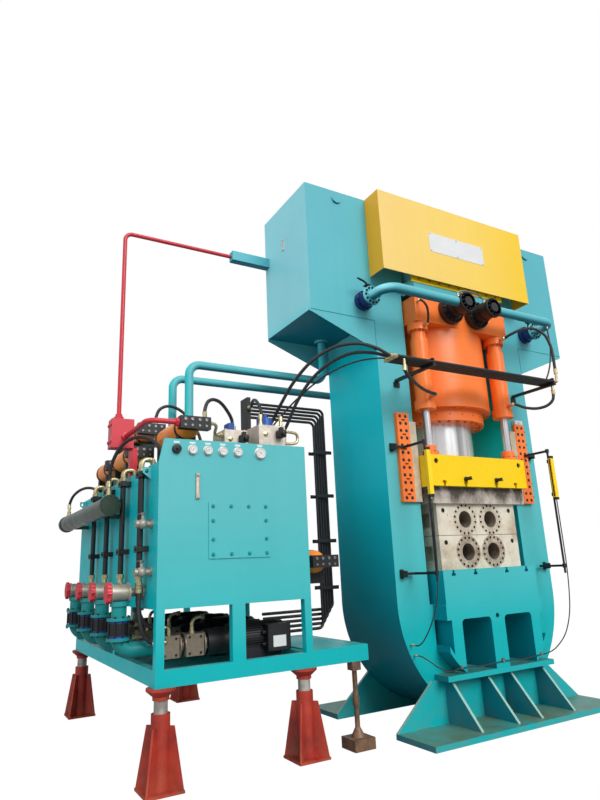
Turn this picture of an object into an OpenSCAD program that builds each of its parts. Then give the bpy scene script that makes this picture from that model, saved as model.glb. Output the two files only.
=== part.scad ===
// Hydraulic forging press with wing tanks and a power unit on jack stands.
// Millimetres, +Z up, the viewer stands at -Y. The origin is the middle of the front foot's floor face.

/* [Frame] */
// Width of the frame across both columns
frame_w = 2310; // [2200:10:2400]
// Depth of the frame, front face to back face
frame_d = 995; // [900:5:1040]
// Width of one column
column_w = 415; // [400:5:440]
// Height of the lower arch's centre
arch_z = 1190; // [1180:5:1230]
// Height of the upper arch's centre
crown_z = 4550; // [4540:5:4650]

/* [Yokes] */
// Thickness of the frame's round end outside a yoke
arch_t = 305; // [280:5:330]
// Gap between a yoke's flat side and the column
yoke_gap = 40; // [25:1:50]
// How far a yoke stands out of the frame, front and back
yoke_out = 192.5; // [172.5:0.5:202.5]
// Height of the lower yoke's top face
yoke_top = 1153; // [1120:1:1175]
// Width of a yoke's middle rib
rib_mid_w = 196; // [160:2:220]
// Distance of a side rib from the yoke's flat side
rib_out = 58; // [50:2:70]
// Width of a side rib
rib_side_w = 136; // [100:2:140]
// Height of a pocket's top edge
pocket_top = 1005; // [980:5:1040]
// Depth of a pocket
pocket_d = 420; // [300:10:500]
// Thickness of the round wall outside the outer pocket
yoke_wall = 34; // [25:1:45]

/* [Foot] */
// How far a foot reaches in front of the frame
foot_reach = 540; // [480:10:600]
// How far a foot's base plate stands out beside the frame
foot_out = 138; // [100:2:180]
// Thickness of a base plate
foot_t = 50; // [40:1:60]
// Height of the top of the foot's bar
foot_h = 500; // [480:5:510]
// How far the bar on top of a foot stands out beside the yoke
foot_bar_out = 65; // [40:1:90]
// How far the bar stands out in front of the yoke
foot_bar_lip = 3.5; // [0:0.5:20]
// Thickness of the bar
foot_bar_t = 50; // [40:1:60]
// Thickness of the web and the gussets
gusset_t = 30; // [20:1:40]

/* [Tools] */
// Gap between the bolster and a column
bolster_gap = 55; // [45:1:70]
// Depth of the bolster
bolster_d = 1360; // [1300:10:1380]
// Height of the bolster
bolster_h = 332; // [300:2:350]
// Width of the bolster's ledge beside a die
die_ledge = 95; // [80:1:120]
// Depth of a die
die_d = 1140; // [1100:10:1200]
// Height of the lower die
die_h = 350; // [330:5:370]
// Height of the upper die
upper_die_h = 330; // [320:5:370]
// Gap between the closed dies
die_gap = 5; // [5:1:10]
// Distance between two ports of a die
port_pitch = 380; // [360:5:420]
// Diameter of a port
port_d = 180; // [150:2:200]
// Depth of a port
port_l = 320; // [200:10:400]
// Bolt circle of a port
port_pcd = 300; // [290:2:320]
// Bolt holes round a port
port_bolts = 16; // [12:4:16]
// Diameter of a bolt hole
port_bolt_d = 22; // [18:1:26]
// Depth of a bolt hole
port_bolt_l = 60; // [40:5:80]
// Width of the slide's ledge beside the upper tool plate
tool_ledge = 13; // [8:1:30]
// Depth of the upper tool plate
tool_d = 1240; // [1200:10:1300]
// Height of the upper tool plate
tool_h = 177; // [150:1:200]

/* [Slide] */
// Gap between the slide and a column
slide_gap = 10; // [8:1:20]
// Depth of the slide
slide_d = 1380; // [1300:10:1400]
// Height of the slide
slide_h = 333; // [300:1:360]
// Stroke of the slide
stroke = 380; // [300:10:400]
// Wall of the main cylinder round the ram
main_wall = 244.5; // [235:0.5:260]
// Length of the ram above the slide
ram_l = 920; // [880:10:960]
// Diameter of a return rod
rod_d = 84; // [70:1:95]
// Length of a return rod above its lug
rod_l = 700; // [640:10:740]
// Radial clearance of the ram and the rods in their bores
rod_clear = 0.5; // [0.3:0.1:1]

/* [Cylinders] */
// Height of the cylinder block's lower face
block_z = 4210; // [4190:5:4250]
// Gap between the cylinder block and a column
block_gap = 20; // [15:1:30]
// Step from the cylinder block's side to the main cylinder
main_step = 20; // [10:1:40]
// Height of the main cylinder's lower end
main_z = 3260; // [3240:5:3300]
// Wall of the gland ring round the ram
gland_wall = 154.5; // [120:0.5:170]
// Height of the gland ring
gland_h = 140; // [120:5:160]
// Distance of a return cylinder from the block's side
return_in = 110; // [100:1:120]
// Distance of a return cylinder from the block's front
return_back = 120; // [118:1:130]
// Diameter of a return cylinder
return_d = 200; // [190:1:210]
// Diameter of a return cylinder's end flanges
return_flange_d = 236; // [220:1:240]
// Height of a return cylinder's lower end
return_z = 3196; // [3180:1:3240]

/* [Wing tanks] */
// Width of a wing tank
wing_w = 832; // [760:2:900]
// Height of a wing tank's floor
wing_z = 4200; // [4150:5:4250]
// Height of a wing tank
wing_h = 1530; // [1400:10:1600]
// Thickness of a tank's plates
plate_t = 16; // [10:1:25]
// Drop of the bracket under a wing tank
bracket_h = 350; // [300:5:400]

/* [Cover] */
// How far the cover stands out beside the frame
cover_out = 15; // [10:1:40]
// How far the cover stands in front of the frame
cover_d = 258; // [230:2:300]
// Height of the cover's lower edge
cover_z = 4732; // [4700:2:4760]
// Height of the cover
cover_h = 994; // [900:2:1020]
// Thickness of the cover's sheet
sheet_t = 8; // [5:1:12]

/* [Power unit] */
// Left side of the power unit
unit_x = -3590; // [-3700:10:-3500]
// Width of the power unit
unit_w = 1430; // [1400:5:1460]
// Length of the power unit, front to back
unit_l = 3260; // [3200:10:3400]
// Distance of the power unit's front from the frame's middle
unit_front = 528; // [500:2:600]
// Height of the underside of the base
unit_z = 724; // [700:1:760]
// Height of the base beams
base_h = 128; // [120:1:140]
// Height of the tank's floor
bay_top = 1304; // [1280:2:1330]
// Height of the tank's roof
tank_top = 2500; // [2480:5:2540]
// Height of the gauge panel above the roof
panel_h = 202; // [180:2:220]
// Number of pump sets
sets = 4; // [3:1:4]
// Distance between pump sets
set_pitch = 635; // [600:5:680]
// Distance of the first pump set from the unit's front
set_first = 400; // [360:5:440]

/* [Pipes] */
// Diameter of the prefill pipes
prefill_d = 108; // [90:2:120]
// Distance of the prefill pipes from the frame's middle
prefill_y = 950; // [930:5:980]
// Height of the prefill pipes
prefill_z = 4400; // [4380:5:4420]
// Diameter of the pipes between the unit and the tanks
link_d = 90; // [70:2:110]
// Diameter of the hose pipes in the manifold
manifold_d = 38; // [30:1:40]
// Height of the manifold
manifold_z = 3555; // [3500:5:3600]
// Distance of the manifold from the frame's middle
manifold_y = 1020; // [1000:5:1040]

/* [Hidden] */
$fn = 48;

press_y = frame_d / 2 + foot_reach / 2;
column_in = frame_w / 2 - column_w;
yoke_r = frame_w / 2 - arch_t;
yoke_w = 2 * (column_in - yoke_gap);
yoke_d = frame_d + 2 * yoke_out;
pocket_w = yoke_w / 2 - rib_mid_w / 2 - rib_side_w - rib_out;
foot_l = frame_w + 2 * foot_out;
foot_bar_l = yoke_w + 2 * foot_bar_out;
foot_bar_d = yoke_out + foot_bar_lip;
bolster_w = 2 * (column_in - bolster_gap);
die_w = bolster_w - 2 * die_ledge;
slide_w = 2 * (column_in - slide_gap);
tool_w = slide_w - 2 * tool_ledge;
block_w = 2 * (column_in - block_gap);
main_d = block_w - 2 * main_step;
block_d = main_d;
bore_d = main_d - 2 * main_wall;
ram_d = bore_d - 2 * rod_clear;
gland_d = bore_d + 2 * gland_wall;
return_x = block_w / 2 - return_in;
return_y = block_d / 2 - return_back;
cover_w = frame_w + 2 * cover_out;
bolster_top = yoke_top + bolster_h;
die_split = bolster_top + die_h;
upper_die_z = die_split + die_gap;
tool_z = upper_die_z + upper_die_h;
slide_z = tool_z + tool_h;
slide_top = slide_z + slide_h;
yoke_under = crown_z - (arch_z - yoke_top);
block_h = yoke_under - block_z;
lug_h = 110;
unit_right = unit_x + unit_w;
unit_back = -unit_front + unit_l;
eps = 1;

// Places everything that is measured from the middle of the frame.
module at_press() {
  translate([0, press_y, 0]) children();
}

// A box between two corners.
module box(a, b) {
  translate(a) cube(b - a);
}

// A round bar between two points.
module strut(p, q, r) {
  d = q - p;
  l = norm(d);
  translate(p) rotate([0, acos(d[2] / l), atan2(d[1], d[0])]) cylinder(h = l, r = r);
}

// A plate in the X-Z plane, centred on y, from an outline of [x, z] points.
module plate_xz(outline, y, t) {
  translate([0, y + t / 2, 0]) rotate([90, 0, 0]) linear_extrude(t) polygon(outline);
}

function unit_of(v) = v / norm(v);

// A pipe along corner points, with round bends of radius bend.
module pipe_run(pts, r, bend) {
  n = len(pts);
  cut = [for (i = [0 : n - 1]) i == 0 || i == n - 1 ? 0 :
    let (a = unit_of(pts[i] - pts[i - 1]), b = unit_of(pts[i + 1] - pts[i]))
    bend * tan(acos(a * b) / 2)];
  for (i = [0 : n - 2]) {
    d = unit_of(pts[i + 1] - pts[i]);
    strut(pts[i] + d * cut[i], pts[i + 1] - d * cut[i + 1], r);
  }
  for (i = [1 : n - 2]) {
    a = unit_of(pts[i] - pts[i - 1]);
    b = unit_of(pts[i + 1] - pts[i]);
    nrm = unit_of(b - a * (a * b));
    c = pts[i] - a * cut[i] + nrm * bend;
    w = cross(-nrm, a);
    multmatrix([
      [-nrm[0], a[0], w[0], c[0]],
      [-nrm[1], a[1], w[1], c[1]],
      [-nrm[2], a[2], w[2], c[2]],
      [0, 0, 0, 1]
    ]) rotate_extrude(angle = acos(a * b)) translate([bend, 0]) circle(r = r);
  }
}

// A hose swept along its own points, with flat ends.
hose_sides = 10;
module hose(pts, d, ref) {
  n = len(pts);
  dirs = [for (i = [0 : n - 1]) unit_of(pts[min(i + 1, n - 1)] - pts[max(i - 1, 0)])];
  ring = [for (i = [0 : n - 1])
    let (u = unit_of(cross(ref, dirs[i])), v = cross(dirs[i], u))
    for (k = [0 : hose_sides - 1])
      pts[i] + (u * cos(360 * k / hose_sides) + v * sin(360 * k / hose_sides)) * d / 2];
  sides = [for (i = [0 : n - 2]) for (k = [0 : hose_sides - 1])
    let (a = i * hose_sides + k, b = i * hose_sides + (k + 1) % hose_sides)
    [b, a, a + hose_sides, b + hose_sides]];
  first = [for (k = [0 : hose_sides - 1]) k];
  last = [for (k = [hose_sides - 1 : -1 : 0]) (n - 1) * hose_sides + k];
  polyhedron(ring, concat(sides, [first, last]));
}

module frame_columns() {
  color("darkcyan") at_press()
    for (s = [-1, 1])
      box([s > 0 ? column_in : -frame_w / 2, -frame_d / 2, arch_z],
        [s > 0 ? frame_w / 2 : -column_in, frame_d / 2, crown_z]);
}

// Outline of a yoke that faces up: a round lower edge between two flat sides.
module yoke_outline() {
  intersection() {
    translate([0, arch_z]) circle(r = yoke_r, $fn = 96);
    translate([-yoke_w / 2, arch_z - yoke_r]) square([yoke_w, yoke_top - arch_z + yoke_r]);
  }
}

// Half-round end of the frame that carries a yoke.
module arch() {
  translate([0, frame_d / 2, 0]) rotate([90, 0, 0]) linear_extrude(frame_d)
    difference() {
      intersection() {
        translate([0, arch_z]) circle(r = frame_w / 2, $fn = 128);
        translate([-frame_w / 2, arch_z - frame_w / 2]) square([frame_w, frame_w / 2]);
      }
      yoke_outline();
      translate([-column_in, yoke_top]) square([2 * column_in, arch_z - yoke_top + eps]);
    }
}

// Turns the lower end of the frame into the upper one.
module to_crown() {
  translate([0, 0, crown_z + arch_z]) mirror([0, 0, 1]) children();
}

module frame_arches() {
  color("darkcyan") at_press() {
    arch();
    to_crown() arch();
  }
}

// Outline of the pockets in a yoke's face.
module pocket_outline() {
  corner_r = 45;
  outer_in = rib_mid_w / 2 + pocket_w + rib_side_w;
  for (s = [-1, 1]) {
    x0 = s > 0 ? rib_mid_w / 2 : -rib_mid_w / 2 - pocket_w;
    translate([x0, foot_h]) square([pocket_w, pocket_top - foot_h - corner_r]);
    translate([x0 + corner_r, foot_h]) square([pocket_w - 2 * corner_r, pocket_top - foot_h]);
    for (x = [x0 + corner_r, x0 + pocket_w - corner_r])
      translate([x, pocket_top - corner_r]) circle(r = corner_r);
  }
  intersection() {
    translate([0, arch_z]) circle(r = yoke_r - yoke_wall);
    for (s = [-1, 1])
      translate([s > 0 ? outer_in : -yoke_w / 2, foot_h])
        square([yoke_w / 2 - outer_in, pocket_top - foot_h]);
  }
}

module yoke() {
  lift_hole_d = 50;
  difference() {
    translate([0, yoke_d / 2, 0]) rotate([90, 0, 0]) linear_extrude(yoke_d) yoke_outline();
    for (s = [-1, 1])
      translate([0, s * (yoke_d / 2 - pocket_d / 2), 0]) rotate([90, 0, 0])
        translate([0, 0, -pocket_d / 2 - eps]) linear_extrude(pocket_d + 2 * eps) pocket_outline();
    for (s = [0, 1])
      mirror([0, s, 0])
        box([-yoke_w, frame_d / 2, 0], [yoke_w, yoke_d, foot_h]);
    for (z = [pocket_top, foot_h + 70])
      translate([0, yoke_d / 2 + eps, z]) rotate([90, 0, 0]) cylinder(h = yoke_d + 2 * eps, d = lift_hole_d);
  }
}

module lower_yoke() {
  color("mediumturquoise") at_press() yoke();
}

module upper_yoke() {
  color("mediumturquoise") at_press() to_crown() yoke();
}

// Repeats a foot at the front and the back of the frame.
module both_feet() {
  at_press()
    for (s = [0, 1])
      mirror([0, s, 0]) translate([0, -frame_d / 2 - foot_reach, 0]) children();
}

module foot_plates() {
  color("cadetblue") both_feet()
    box([-foot_l / 2, 0, 0], [foot_l / 2, foot_reach, foot_t]);
}

web_top = foot_h - foot_bar_t;
module foot_webs() {
  web_top_w = foot_bar_l + 110;
  color("darkcyan") both_feet()
    plate_xz([[-foot_l / 2, foot_t], [foot_l / 2, foot_t], [web_top_w / 2, web_top],
      [-web_top_w / 2, web_top]],
      foot_reach - gusset_t / 2, gusset_t);
}

module foot_bars() {
  color("mediumturquoise") both_feet()
    box([-foot_bar_l / 2, foot_reach - foot_bar_d, web_top], [foot_bar_l / 2, foot_reach, foot_h]);
}

module foot_gussets() {
  toe = 75;
  top = 80;
  outer_x = foot_bar_l / 2 - 115;
  inner_x = 165;
  color("darkcyan") both_feet()
    for (x = [-outer_x, -inner_x, inner_x, outer_x])
      translate([x - gusset_t / 2, 0, 0]) rotate([90, 0, 90]) linear_extrude(gusset_t)
        polygon([[toe, foot_t], [foot_reach - gusset_t, foot_t], [foot_reach - gusset_t, web_top],
          [foot_reach - gusset_t - top, web_top]]);
}

// T-slots along Y, cut upwards from z = 0.
slot_out = bolster_w / 2 - 143;
slot_in = slot_out - 309;
slot_x = [-slot_out, -slot_in, slot_in, slot_out];
module t_slots(l) {
  neck_w = 28;
  neck_h = 32;
  head_w = 52;
  head_h = 26;
  for (x = slot_x) {
    box([x - neck_w / 2, -l / 2, -eps], [x + neck_w / 2, l / 2, neck_h + eps]);
    box([x - head_w / 2, -l / 2, neck_h], [x + head_w / 2, l / 2, neck_h + head_h]);
  }
}

module bolster() {
  color("mediumturquoise") at_press()
    difference() {
      box([-bolster_w / 2, -bolster_d / 2, yoke_top], [bolster_w / 2, bolster_d / 2, bolster_top]);
      translate([0, 0, bolster_top]) mirror([0, 0, 1]) t_slots(bolster_d + 2);
    }
}

// A die half with two flanged ports in its front.
module die(z, h) {
  side_hole_x = die_w / 2 - 90;
  side_hole_d = 44;
  recess = [90, 260, 150];
  difference() {
    box([-die_w / 2, -die_d / 2, z], [die_w / 2, die_d / 2, z + h]);
    for (s = [-1, 1])
      translate([s * port_pitch / 2, -die_d / 2, z + h / 2]) rotate([-90, 0, 0]) {
        translate([0, 0, -eps]) cylinder(h = port_l + eps, d = port_d);
        for (k = [0 : port_bolts - 1])
          rotate([0, 0, 360 * (k + 0.5) / port_bolts]) translate([port_pcd / 2, 0, -eps])
            cylinder(h = port_bolt_l + eps, d = port_bolt_d, $fn = 16);
      }
    for (s = [-1, 1])
      translate([s * side_hole_x, -die_d / 2 - eps, z + h - 70]) rotate([-90, 0, 0])
        cylinder(h = 80, d = side_hole_d, $fn = 24);
    for (s = [-1, 1])
      translate([s * (die_w / 2 - recess[0] / 2), -die_d / 2 + 250, z + h / 2])
        cube(recess + [2, 0, 0], center = true);
  }
}

module lower_die() {
  color("antiquewhite") at_press() die(bolster_top, die_h);
}

module upper_die() {
  color("antiquewhite") at_press() die(upper_die_z, upper_die_h);
}

module upper_tool_plate() {
  color("lightgray") at_press()
    box([-tool_w / 2, -tool_d / 2, tool_z], [tool_w / 2, tool_d / 2, slide_z]);
}

module slide() {
  lift_x = slide_w / 2 - 97;
  lift_d = 56;
  pin_d = 32;
  pin_l = 110;
  color("gold") at_press() {
    difference() {
      box([-slide_w / 2, -slide_d / 2, slide_z], [slide_w / 2, slide_d / 2, slide_top]);
      translate([0, 0, slide_z]) t_slots(slide_d + 2);
      for (s = [-1, 1])
        translate([s * lift_x, -slide_d / 2 - eps, slide_top - 68]) rotate([-90, 0, 0])
          cylinder(h = 120, d = lift_d);
    }
    for (x = [-slot_in, slot_in])
      translate([x, -slide_d / 2 + eps, slide_z + 80]) rotate([90, 0, 0]) cylinder(h = pin_l + eps, d = pin_d);
  }
}

module ram() {
  color("silver") at_press()
    translate([0, 0, slide_top]) cylinder(h = ram_l, d = ram_d, $fn = 96);
}

// Repeats a piece at the four return cylinders.
module at_returns() {
  at_press()
    for (sx = [-1, 1])
      for (sy = [-1, 1])
        translate([sx * return_x, sy * return_y, 0]) mirror([0, sy > 0 ? 1 : 0, 0]) children();
}

module rod_lugs() {
  color("darkorange") at_returns()
    translate([0, 0, slide_top]) {
      cylinder(h = lug_h / 3, d = 200);
      cylinder(h = lug_h, d = 150);
    }
}

module return_rods() {
  color("silver") at_returns()
    translate([0, 0, slide_top + lug_h]) cylinder(h = rod_l, d = rod_d);
}

module cylinder_block() {
  color("darkorange") at_press()
    box([-block_w / 2, -block_d / 2, block_z], [block_w / 2, block_d / 2, yoke_under]);
}

main_bore_z = block_z - 100;
module main_cylinder() {
  color("darkorange") at_press()
    difference() {
      translate([0, 0, main_z]) cylinder(h = block_z - main_z, d = main_d, $fn = 96);
      translate([0, 0, main_z - eps])
        cylinder(h = main_bore_z - main_z + eps, d = bore_d, $fn = 96);
    }
}

module gland_ring() {
  color("darkorange") at_press()
    difference() {
      translate([0, 0, main_z - gland_h]) cylinder(h = gland_h, d = gland_d, $fn = 96);
      translate([0, 0, main_z - gland_h - eps])
        cylinder(h = gland_h + 2 * eps, d = bore_d, $fn = 96);
    }
}

top_ring_h = 88;
boss_l = 135;
module return_cylinders() {
  foot_ring_h = 99;
  neck_h = 100;
  neck_d = return_d - 30;
  top = block_z;
  color("darkorange") at_returns()
    difference() {
      union() {
        translate([0, 0, return_z]) cylinder(h = foot_ring_h, d = return_flange_d);
        translate([0, 0, return_z]) cylinder(h = top - neck_h - top_ring_h - return_z, d = return_d);
        translate([0, 0, return_z]) cylinder(h = top - return_z, d = neck_d);
        translate([0, 0, top - top_ring_h]) cylinder(h = top_ring_h, d = return_flange_d);
        for (z = [boss_low_z, boss_top_z])
          translate([0, 0, z]) rotate([90, 0, 0]) cylinder(h = boss_l, d = 44);
      }
      translate([0, 0, return_z - eps])
        cylinder(h = top - top_ring_h - neck_h - return_z, d = rod_d + 2 * rod_clear);
    }
}

// Repeats a piece on both sides of the frame.
module both_sides() {
  at_press()
    for (s = [0, 1])
      mirror([s, 0, 0]) children();
}

wing_x0 = frame_w / 2;
wing_x1 = frame_w / 2 + wing_w;
lug_r = 65;
lug_t = 20;
module wing_tank_ends() {
  color("mediumturquoise") both_sides()
    for (s = [0, 1])
      mirror([0, s, 0])
        box([wing_x0, -frame_d / 2, wing_z], [wing_x1, -frame_d / 2 + plate_t, wing_z + wing_h]);
  color("mediumturquoise") both_sides()
    translate([wing_x0 + wing_w / 2, -frame_d / 2 + eps, wing_z + wing_h - 90]) rotate([90, 0, 0])
      linear_extrude(lug_t + eps)
        difference() {
          circle(r = lug_r);
          translate([-lug_r, 0]) square([2 * lug_r, lug_r]);
        }
}

module wing_tank_sides() {
  color("darkcyan") both_sides()
    for (x = [wing_x0, wing_x1 - plate_t])
      box([x, -frame_d / 2 + plate_t, wing_z + plate_t],
        [x + plate_t, frame_d / 2 - plate_t, wing_z + wing_h - plate_t]);
}

module wing_tank_floors() {
  color("darkcyan") both_sides()
    box([wing_x0, -frame_d / 2 + plate_t, wing_z], [wing_x1, frame_d / 2 - plate_t, wing_z + plate_t]);
}

module wing_tank_roofs() {
  color("darkcyan") both_sides()
    box([wing_x0, -frame_d / 2 + plate_t, wing_z + wing_h - plate_t],
      [wing_x1, frame_d / 2 - plate_t, wing_z + wing_h]);
}

module wing_tank_brackets() {
  toe = 24;
  color("mediumturquoise") both_sides()
    for (s = [-1, 1])
      plate_xz([[wing_x0, wing_z - bracket_h], [wing_x1, wing_z - toe], [wing_x1, wing_z],
        [wing_x0, wing_z]],
        s * (frame_d / 2 - plate_t / 2), plate_t);
}

module yellow_cover() {
  front = -frame_d / 2 - cover_d;
  strip_w = yoke_w - 40;
  strip_z = [4800, 4870];
  color("gold") at_press() {
    difference() {
      box([-cover_w / 2, front, cover_z], [cover_w / 2, -frame_d / 2, cover_z + cover_h]);
      box([-cover_w / 2 + sheet_t, front + sheet_t, cover_z - eps],
        [cover_w / 2 - sheet_t, -frame_d / 2 + eps, cover_z + cover_h - sheet_t]);
    }
    box([-strip_w / 2, -yoke_d / 2 - sheet_t, strip_z[0]], [strip_w / 2, -yoke_d / 2, strip_z[1]]);
  }
}

valve_x = 204;
module prefill_valves() {
  flange_d = 330;
  body_d = 210;
  flange_l = 70;
  color("dimgray") at_press()
    for (s = [-1, 1])
      translate([s * valve_x, -block_d / 2, prefill_z]) rotate([90, 0, 0]) {
        cylinder(h = flange_l, d = flange_d);
        cylinder(h = prefill_y + 70 - block_d / 2, d = body_d);
      }
}

butterfly_x = wing_x0 + 150;
butterfly_l = 170;
module prefill_pipes() {
  body_r = 105;
  flange_d = 220;
  color("mediumturquoise") both_sides() {
    pipe_run([[butterfly_x, -frame_d / 2 - butterfly_l, prefill_z], [butterfly_x, -prefill_y, prefill_z],
      [valve_x + body_r, -prefill_y, prefill_z]], prefill_d / 2, 150);
    translate([butterfly_x, -frame_d / 2 - butterfly_l, prefill_z]) rotate([90, 0, 0])
      cylinder(h = 24, d = flange_d);
  }
}

module butterfly_valves() {
  flange_d = 220;
  color("royalblue") both_sides() {
    translate([butterfly_x, -frame_d / 2, prefill_z]) rotate([90, 0, 0]) {
      cylinder(h = 50, d = flange_d);
      cylinder(h = butterfly_l, d = flange_d - 40);
    }
    translate([butterfly_x, frame_d / 2, prefill_z]) rotate([-90, 0, 0]) {
      cylinder(h = 50, d = flange_d);
      cylinder(h = butterfly_l, d = flange_d - 40);
    }
  }
}

// Guides on the columns, front and back.
strip_z0 = 2190;
strip_z1 = 3150;
gib_w = 95;
gib_x = slide_w / 2 + 8;
module guide_strips() {
  strip_w = 165;
  strip_t = 45;
  hole_d = 26;
  hole_rows = 12;
  hole_pitch = (strip_z1 - strip_z0) / hole_rows;
  color("darkorange") both_sides()
    for (s = [0, 1])
      mirror([0, s, 0])
        difference() {
          box([gib_x + gib_w, -frame_d / 2 - strip_t, strip_z0],
            [gib_x + gib_w + strip_w, -frame_d / 2, strip_z1]);
          for (x = [45, 120])
            for (k = [0 : hole_rows - 1])
              translate([gib_x + gib_w + x, -frame_d / 2 - strip_t - eps, strip_z0 + hole_pitch * (k + 0.5)])
                rotate([-90, 0, 0]) cylinder(h = strip_t / 2, d = hole_d, $fn = 16);
        }
}

module gibs() {
  color("tan") both_sides()
    for (s = [0, 1])
      mirror([0, s, 0])
        box([gib_x, -frame_d / 2 - 40, strip_z0], [gib_x + gib_w, -frame_d / 2, slide_top + stroke]);
}

manifold_x0 = -frame_w / 2 - 265;
manifold_x1 = column_in + 240;
module manifold_pipes() {
  color("dimgray") at_press()
    for (k = [0 : 4])
      translate([manifold_x0, -manifold_y + (k - 2) * (manifold_d + 2), manifold_z]) rotate([0, 90, 0])
        cylinder(h = manifold_x1 - manifold_x0, d = manifold_d);
}

bracket_x = column_in + 185;
module manifold_bracket() {
  rise = manifold_d / 2;
  arm = 30;
  box([bracket_x - 20, -manifold_y - 110, manifold_z - rise - arm],
    [bracket_x + 20, -frame_d / 2, manifold_z - rise]);
  box([bracket_x - 40, -frame_d / 2 - 12, manifold_z - 110],
    [bracket_x + 40, -frame_d / 2, manifold_z - rise - arm]);
}

curtain_x = column_in + 200;
curtain_y = 860;
arm_z = [1470, 2766];
arm_t = 24;
arm_y = frame_d / 2 + 45;
module curtain_arm(z) {
  pad_x = frame_w / 2 - 110;
  box([curtain_x - arm_t / 2, -curtain_y, z - arm_t / 2], [curtain_x + arm_t / 2, -arm_y, z + arm_t / 2]);
  box([curtain_x - arm_t / 2, -arm_y - arm_t, z - arm_t / 2], [pad_x + 50, -arm_y, z + arm_t / 2]);
  box([pad_x, -arm_y - arm_t, z - 30], [pad_x + 50, -frame_d / 2, z + 30]);
}

module column_brackets() {
  color("black") both_sides() {
    manifold_bracket();
    for (z = arm_z)
      curtain_arm(z);
    translate([curtain_x, -curtain_y - arm_t / 2, arm_z[0] - 80])
      cylinder(h = arm_z[1] - arm_z[0] + 100, d = arm_t);
  }
}

module light_curtains() {
  color("yellow") both_sides()
    box([curtain_x - 25, -curtain_y - 62, 2200], [curtain_x + 25, -curtain_y - 24, 2700]);
}

// Power unit, measured from the middle of the frame.
module at_unit() {
  translate([unit_x, press_y - unit_front, 0]) children();
}

beam_w = 70;
deck_z = unit_z + 60;
module unit_base() {
  platform = [593, 1200, base_h + 12];
  color("mediumturquoise") at_unit() {
    difference() {
      box([0, 0, unit_z], [unit_w, unit_l, unit_z + base_h]);
      box([beam_w, beam_w, deck_z], [unit_w - beam_w, unit_l - beam_w, unit_z + base_h + eps]);
    }
    translate([unit_w, 0, unit_z]) cube(platform);
  }
}

module bay_posts() {
  h = bay_top - unit_z - base_h;
  post = 70;
  mid_w = 120;
  mid_y = set_y(1) + set_pitch / 2 - post / 2;
  color("darkcyan") at_unit()
    translate([0, 0, unit_z + base_h]) {
      for (y = [0, unit_l - post]) {
        translate([0, y, 0]) cube([post, post, h]);
        translate([unit_w - post, y, 0]) cube([post, post, h]);
        translate([unit_w / 2 - mid_w / 2, y, 0]) cube([mid_w, post, h]);
      }
      for (x = [0, unit_w - post])
        translate([x, mid_y, 0]) cube([post, post, h]);
    }
}

module tank_ends() {
  color("mediumturquoise") at_unit()
    for (y = [0, unit_l - plate_t])
      box([0, y, bay_top], [unit_w, y + plate_t, tank_top]);
}

module tank_sides() {
  color("darkcyan") at_unit()
    for (x = [0, unit_w - plate_t])
      box([x, plate_t, bay_top + plate_t], [x + plate_t, unit_l - plate_t, tank_top - plate_t]);
  color("darkcyan") at_unit()
    for (y = [220, unit_l - 220])
      for (s = [0, 1])
        translate([s * unit_w, 0, 0]) mirror([1 - s, 0, 0])
          difference() {
            plate_xz([[-eps, tank_top - 130], [75, tank_top - 70], [75, tank_top - 20],
              [-eps, tank_top - 20]], y, plate_t);
            translate([42, y - plate_t, tank_top - 55]) rotate([-90, 0, 0]) cylinder(h = 2 * plate_t, d = 36);
          }
}

module tank_floor() {
  color("darkcyan") at_unit()
    box([0, plate_t, bay_top], [unit_w, unit_l - plate_t, bay_top + plate_t]);
}

module tank_roof() {
  color("darkcyan") at_unit()
    box([0, plate_t, tank_top - plate_t], [unit_w, unit_l - plate_t, tank_top]);
}

module gauge_panel() {
  lean = 45;
  small_d = 73;
  large_d = 95;
  gauge_x = [151, 296, 438, 580, 726];
  large_x = 950;
  gauge_z = tank_top + 112;
  gauge_t = 26;
  color("mediumturquoise") at_unit() {
    plate_xz([[0, tank_top], [unit_w, tank_top], [unit_w, tank_top + panel_h], [lean, tank_top + panel_h]],
      plate_t / 2, plate_t);
    for (x = gauge_x)
      translate([x, 0, gauge_z]) rotate([90, 0, 0]) cylinder(h = gauge_t, d = small_d);
    translate([large_x, 0, gauge_z]) rotate([90, 0, 0]) cylinder(h = gauge_t, d = large_d);
  }
}

module access_cover() {
  color("mediumturquoise") at_unit()
    box([442, -10, 1684], [1030, 0, 2160]);
}

function set_y(k) = set_first + k * set_pitch;
shaft_z = 985;
motor_d = 250;
motor_x = 800;
motor_gap = 110;
motor_l = unit_w - motor_gap - motor_x;
module motors() {
  color("dimgray") at_unit()
    for (k = [0 : sets - 1])
      translate([0, set_y(k), 0]) {
        translate([motor_x, 0, shaft_z]) rotate([0, 90, 0]) cylinder(h = motor_l, d = motor_d);
        box([motor_x + 60, -motor_d / 2 + 10, deck_z],
          [motor_x + motor_l - 60, motor_d / 2 - 10, shaft_z - 40]);
        box([motor_x + motor_l - 235, -200, shaft_z - 110], [motor_x + motor_l - 15, -80, shaft_z + 110]);
      }
}

bell_l = 240;
pump_x = 130;
pump_box = [[10, -90, -95], [170, 90, 85]];
module bell_housings() {
  color("black") at_unit()
    for (k = [0 : sets - 1])
      translate([motor_x - bell_l, set_y(k), shaft_z]) rotate([0, 90, 0]) {
        cylinder(h = bell_l, d = 220);
        translate([0, 0, bell_l - 26]) cylinder(h = 26, d = 270);
      }
}

module pumps() {
  color("rosybrown") at_unit()
    for (k = [0 : sets - 1])
      translate([pump_x, set_y(k), shaft_z]) {
        rotate([0, 90, 0]) cylinder(h = motor_x - bell_l - pump_x, d = 120);
        for (x = [0, 220])
          translate([x, 0, 0]) box(pump_box[0], pump_box[1]);
        for (x = [0, 176, 220, 396])
          translate([x, 0, -5]) rotate([0, 90, 0]) cylinder(h = 14, d = 205);
      }
}

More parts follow.
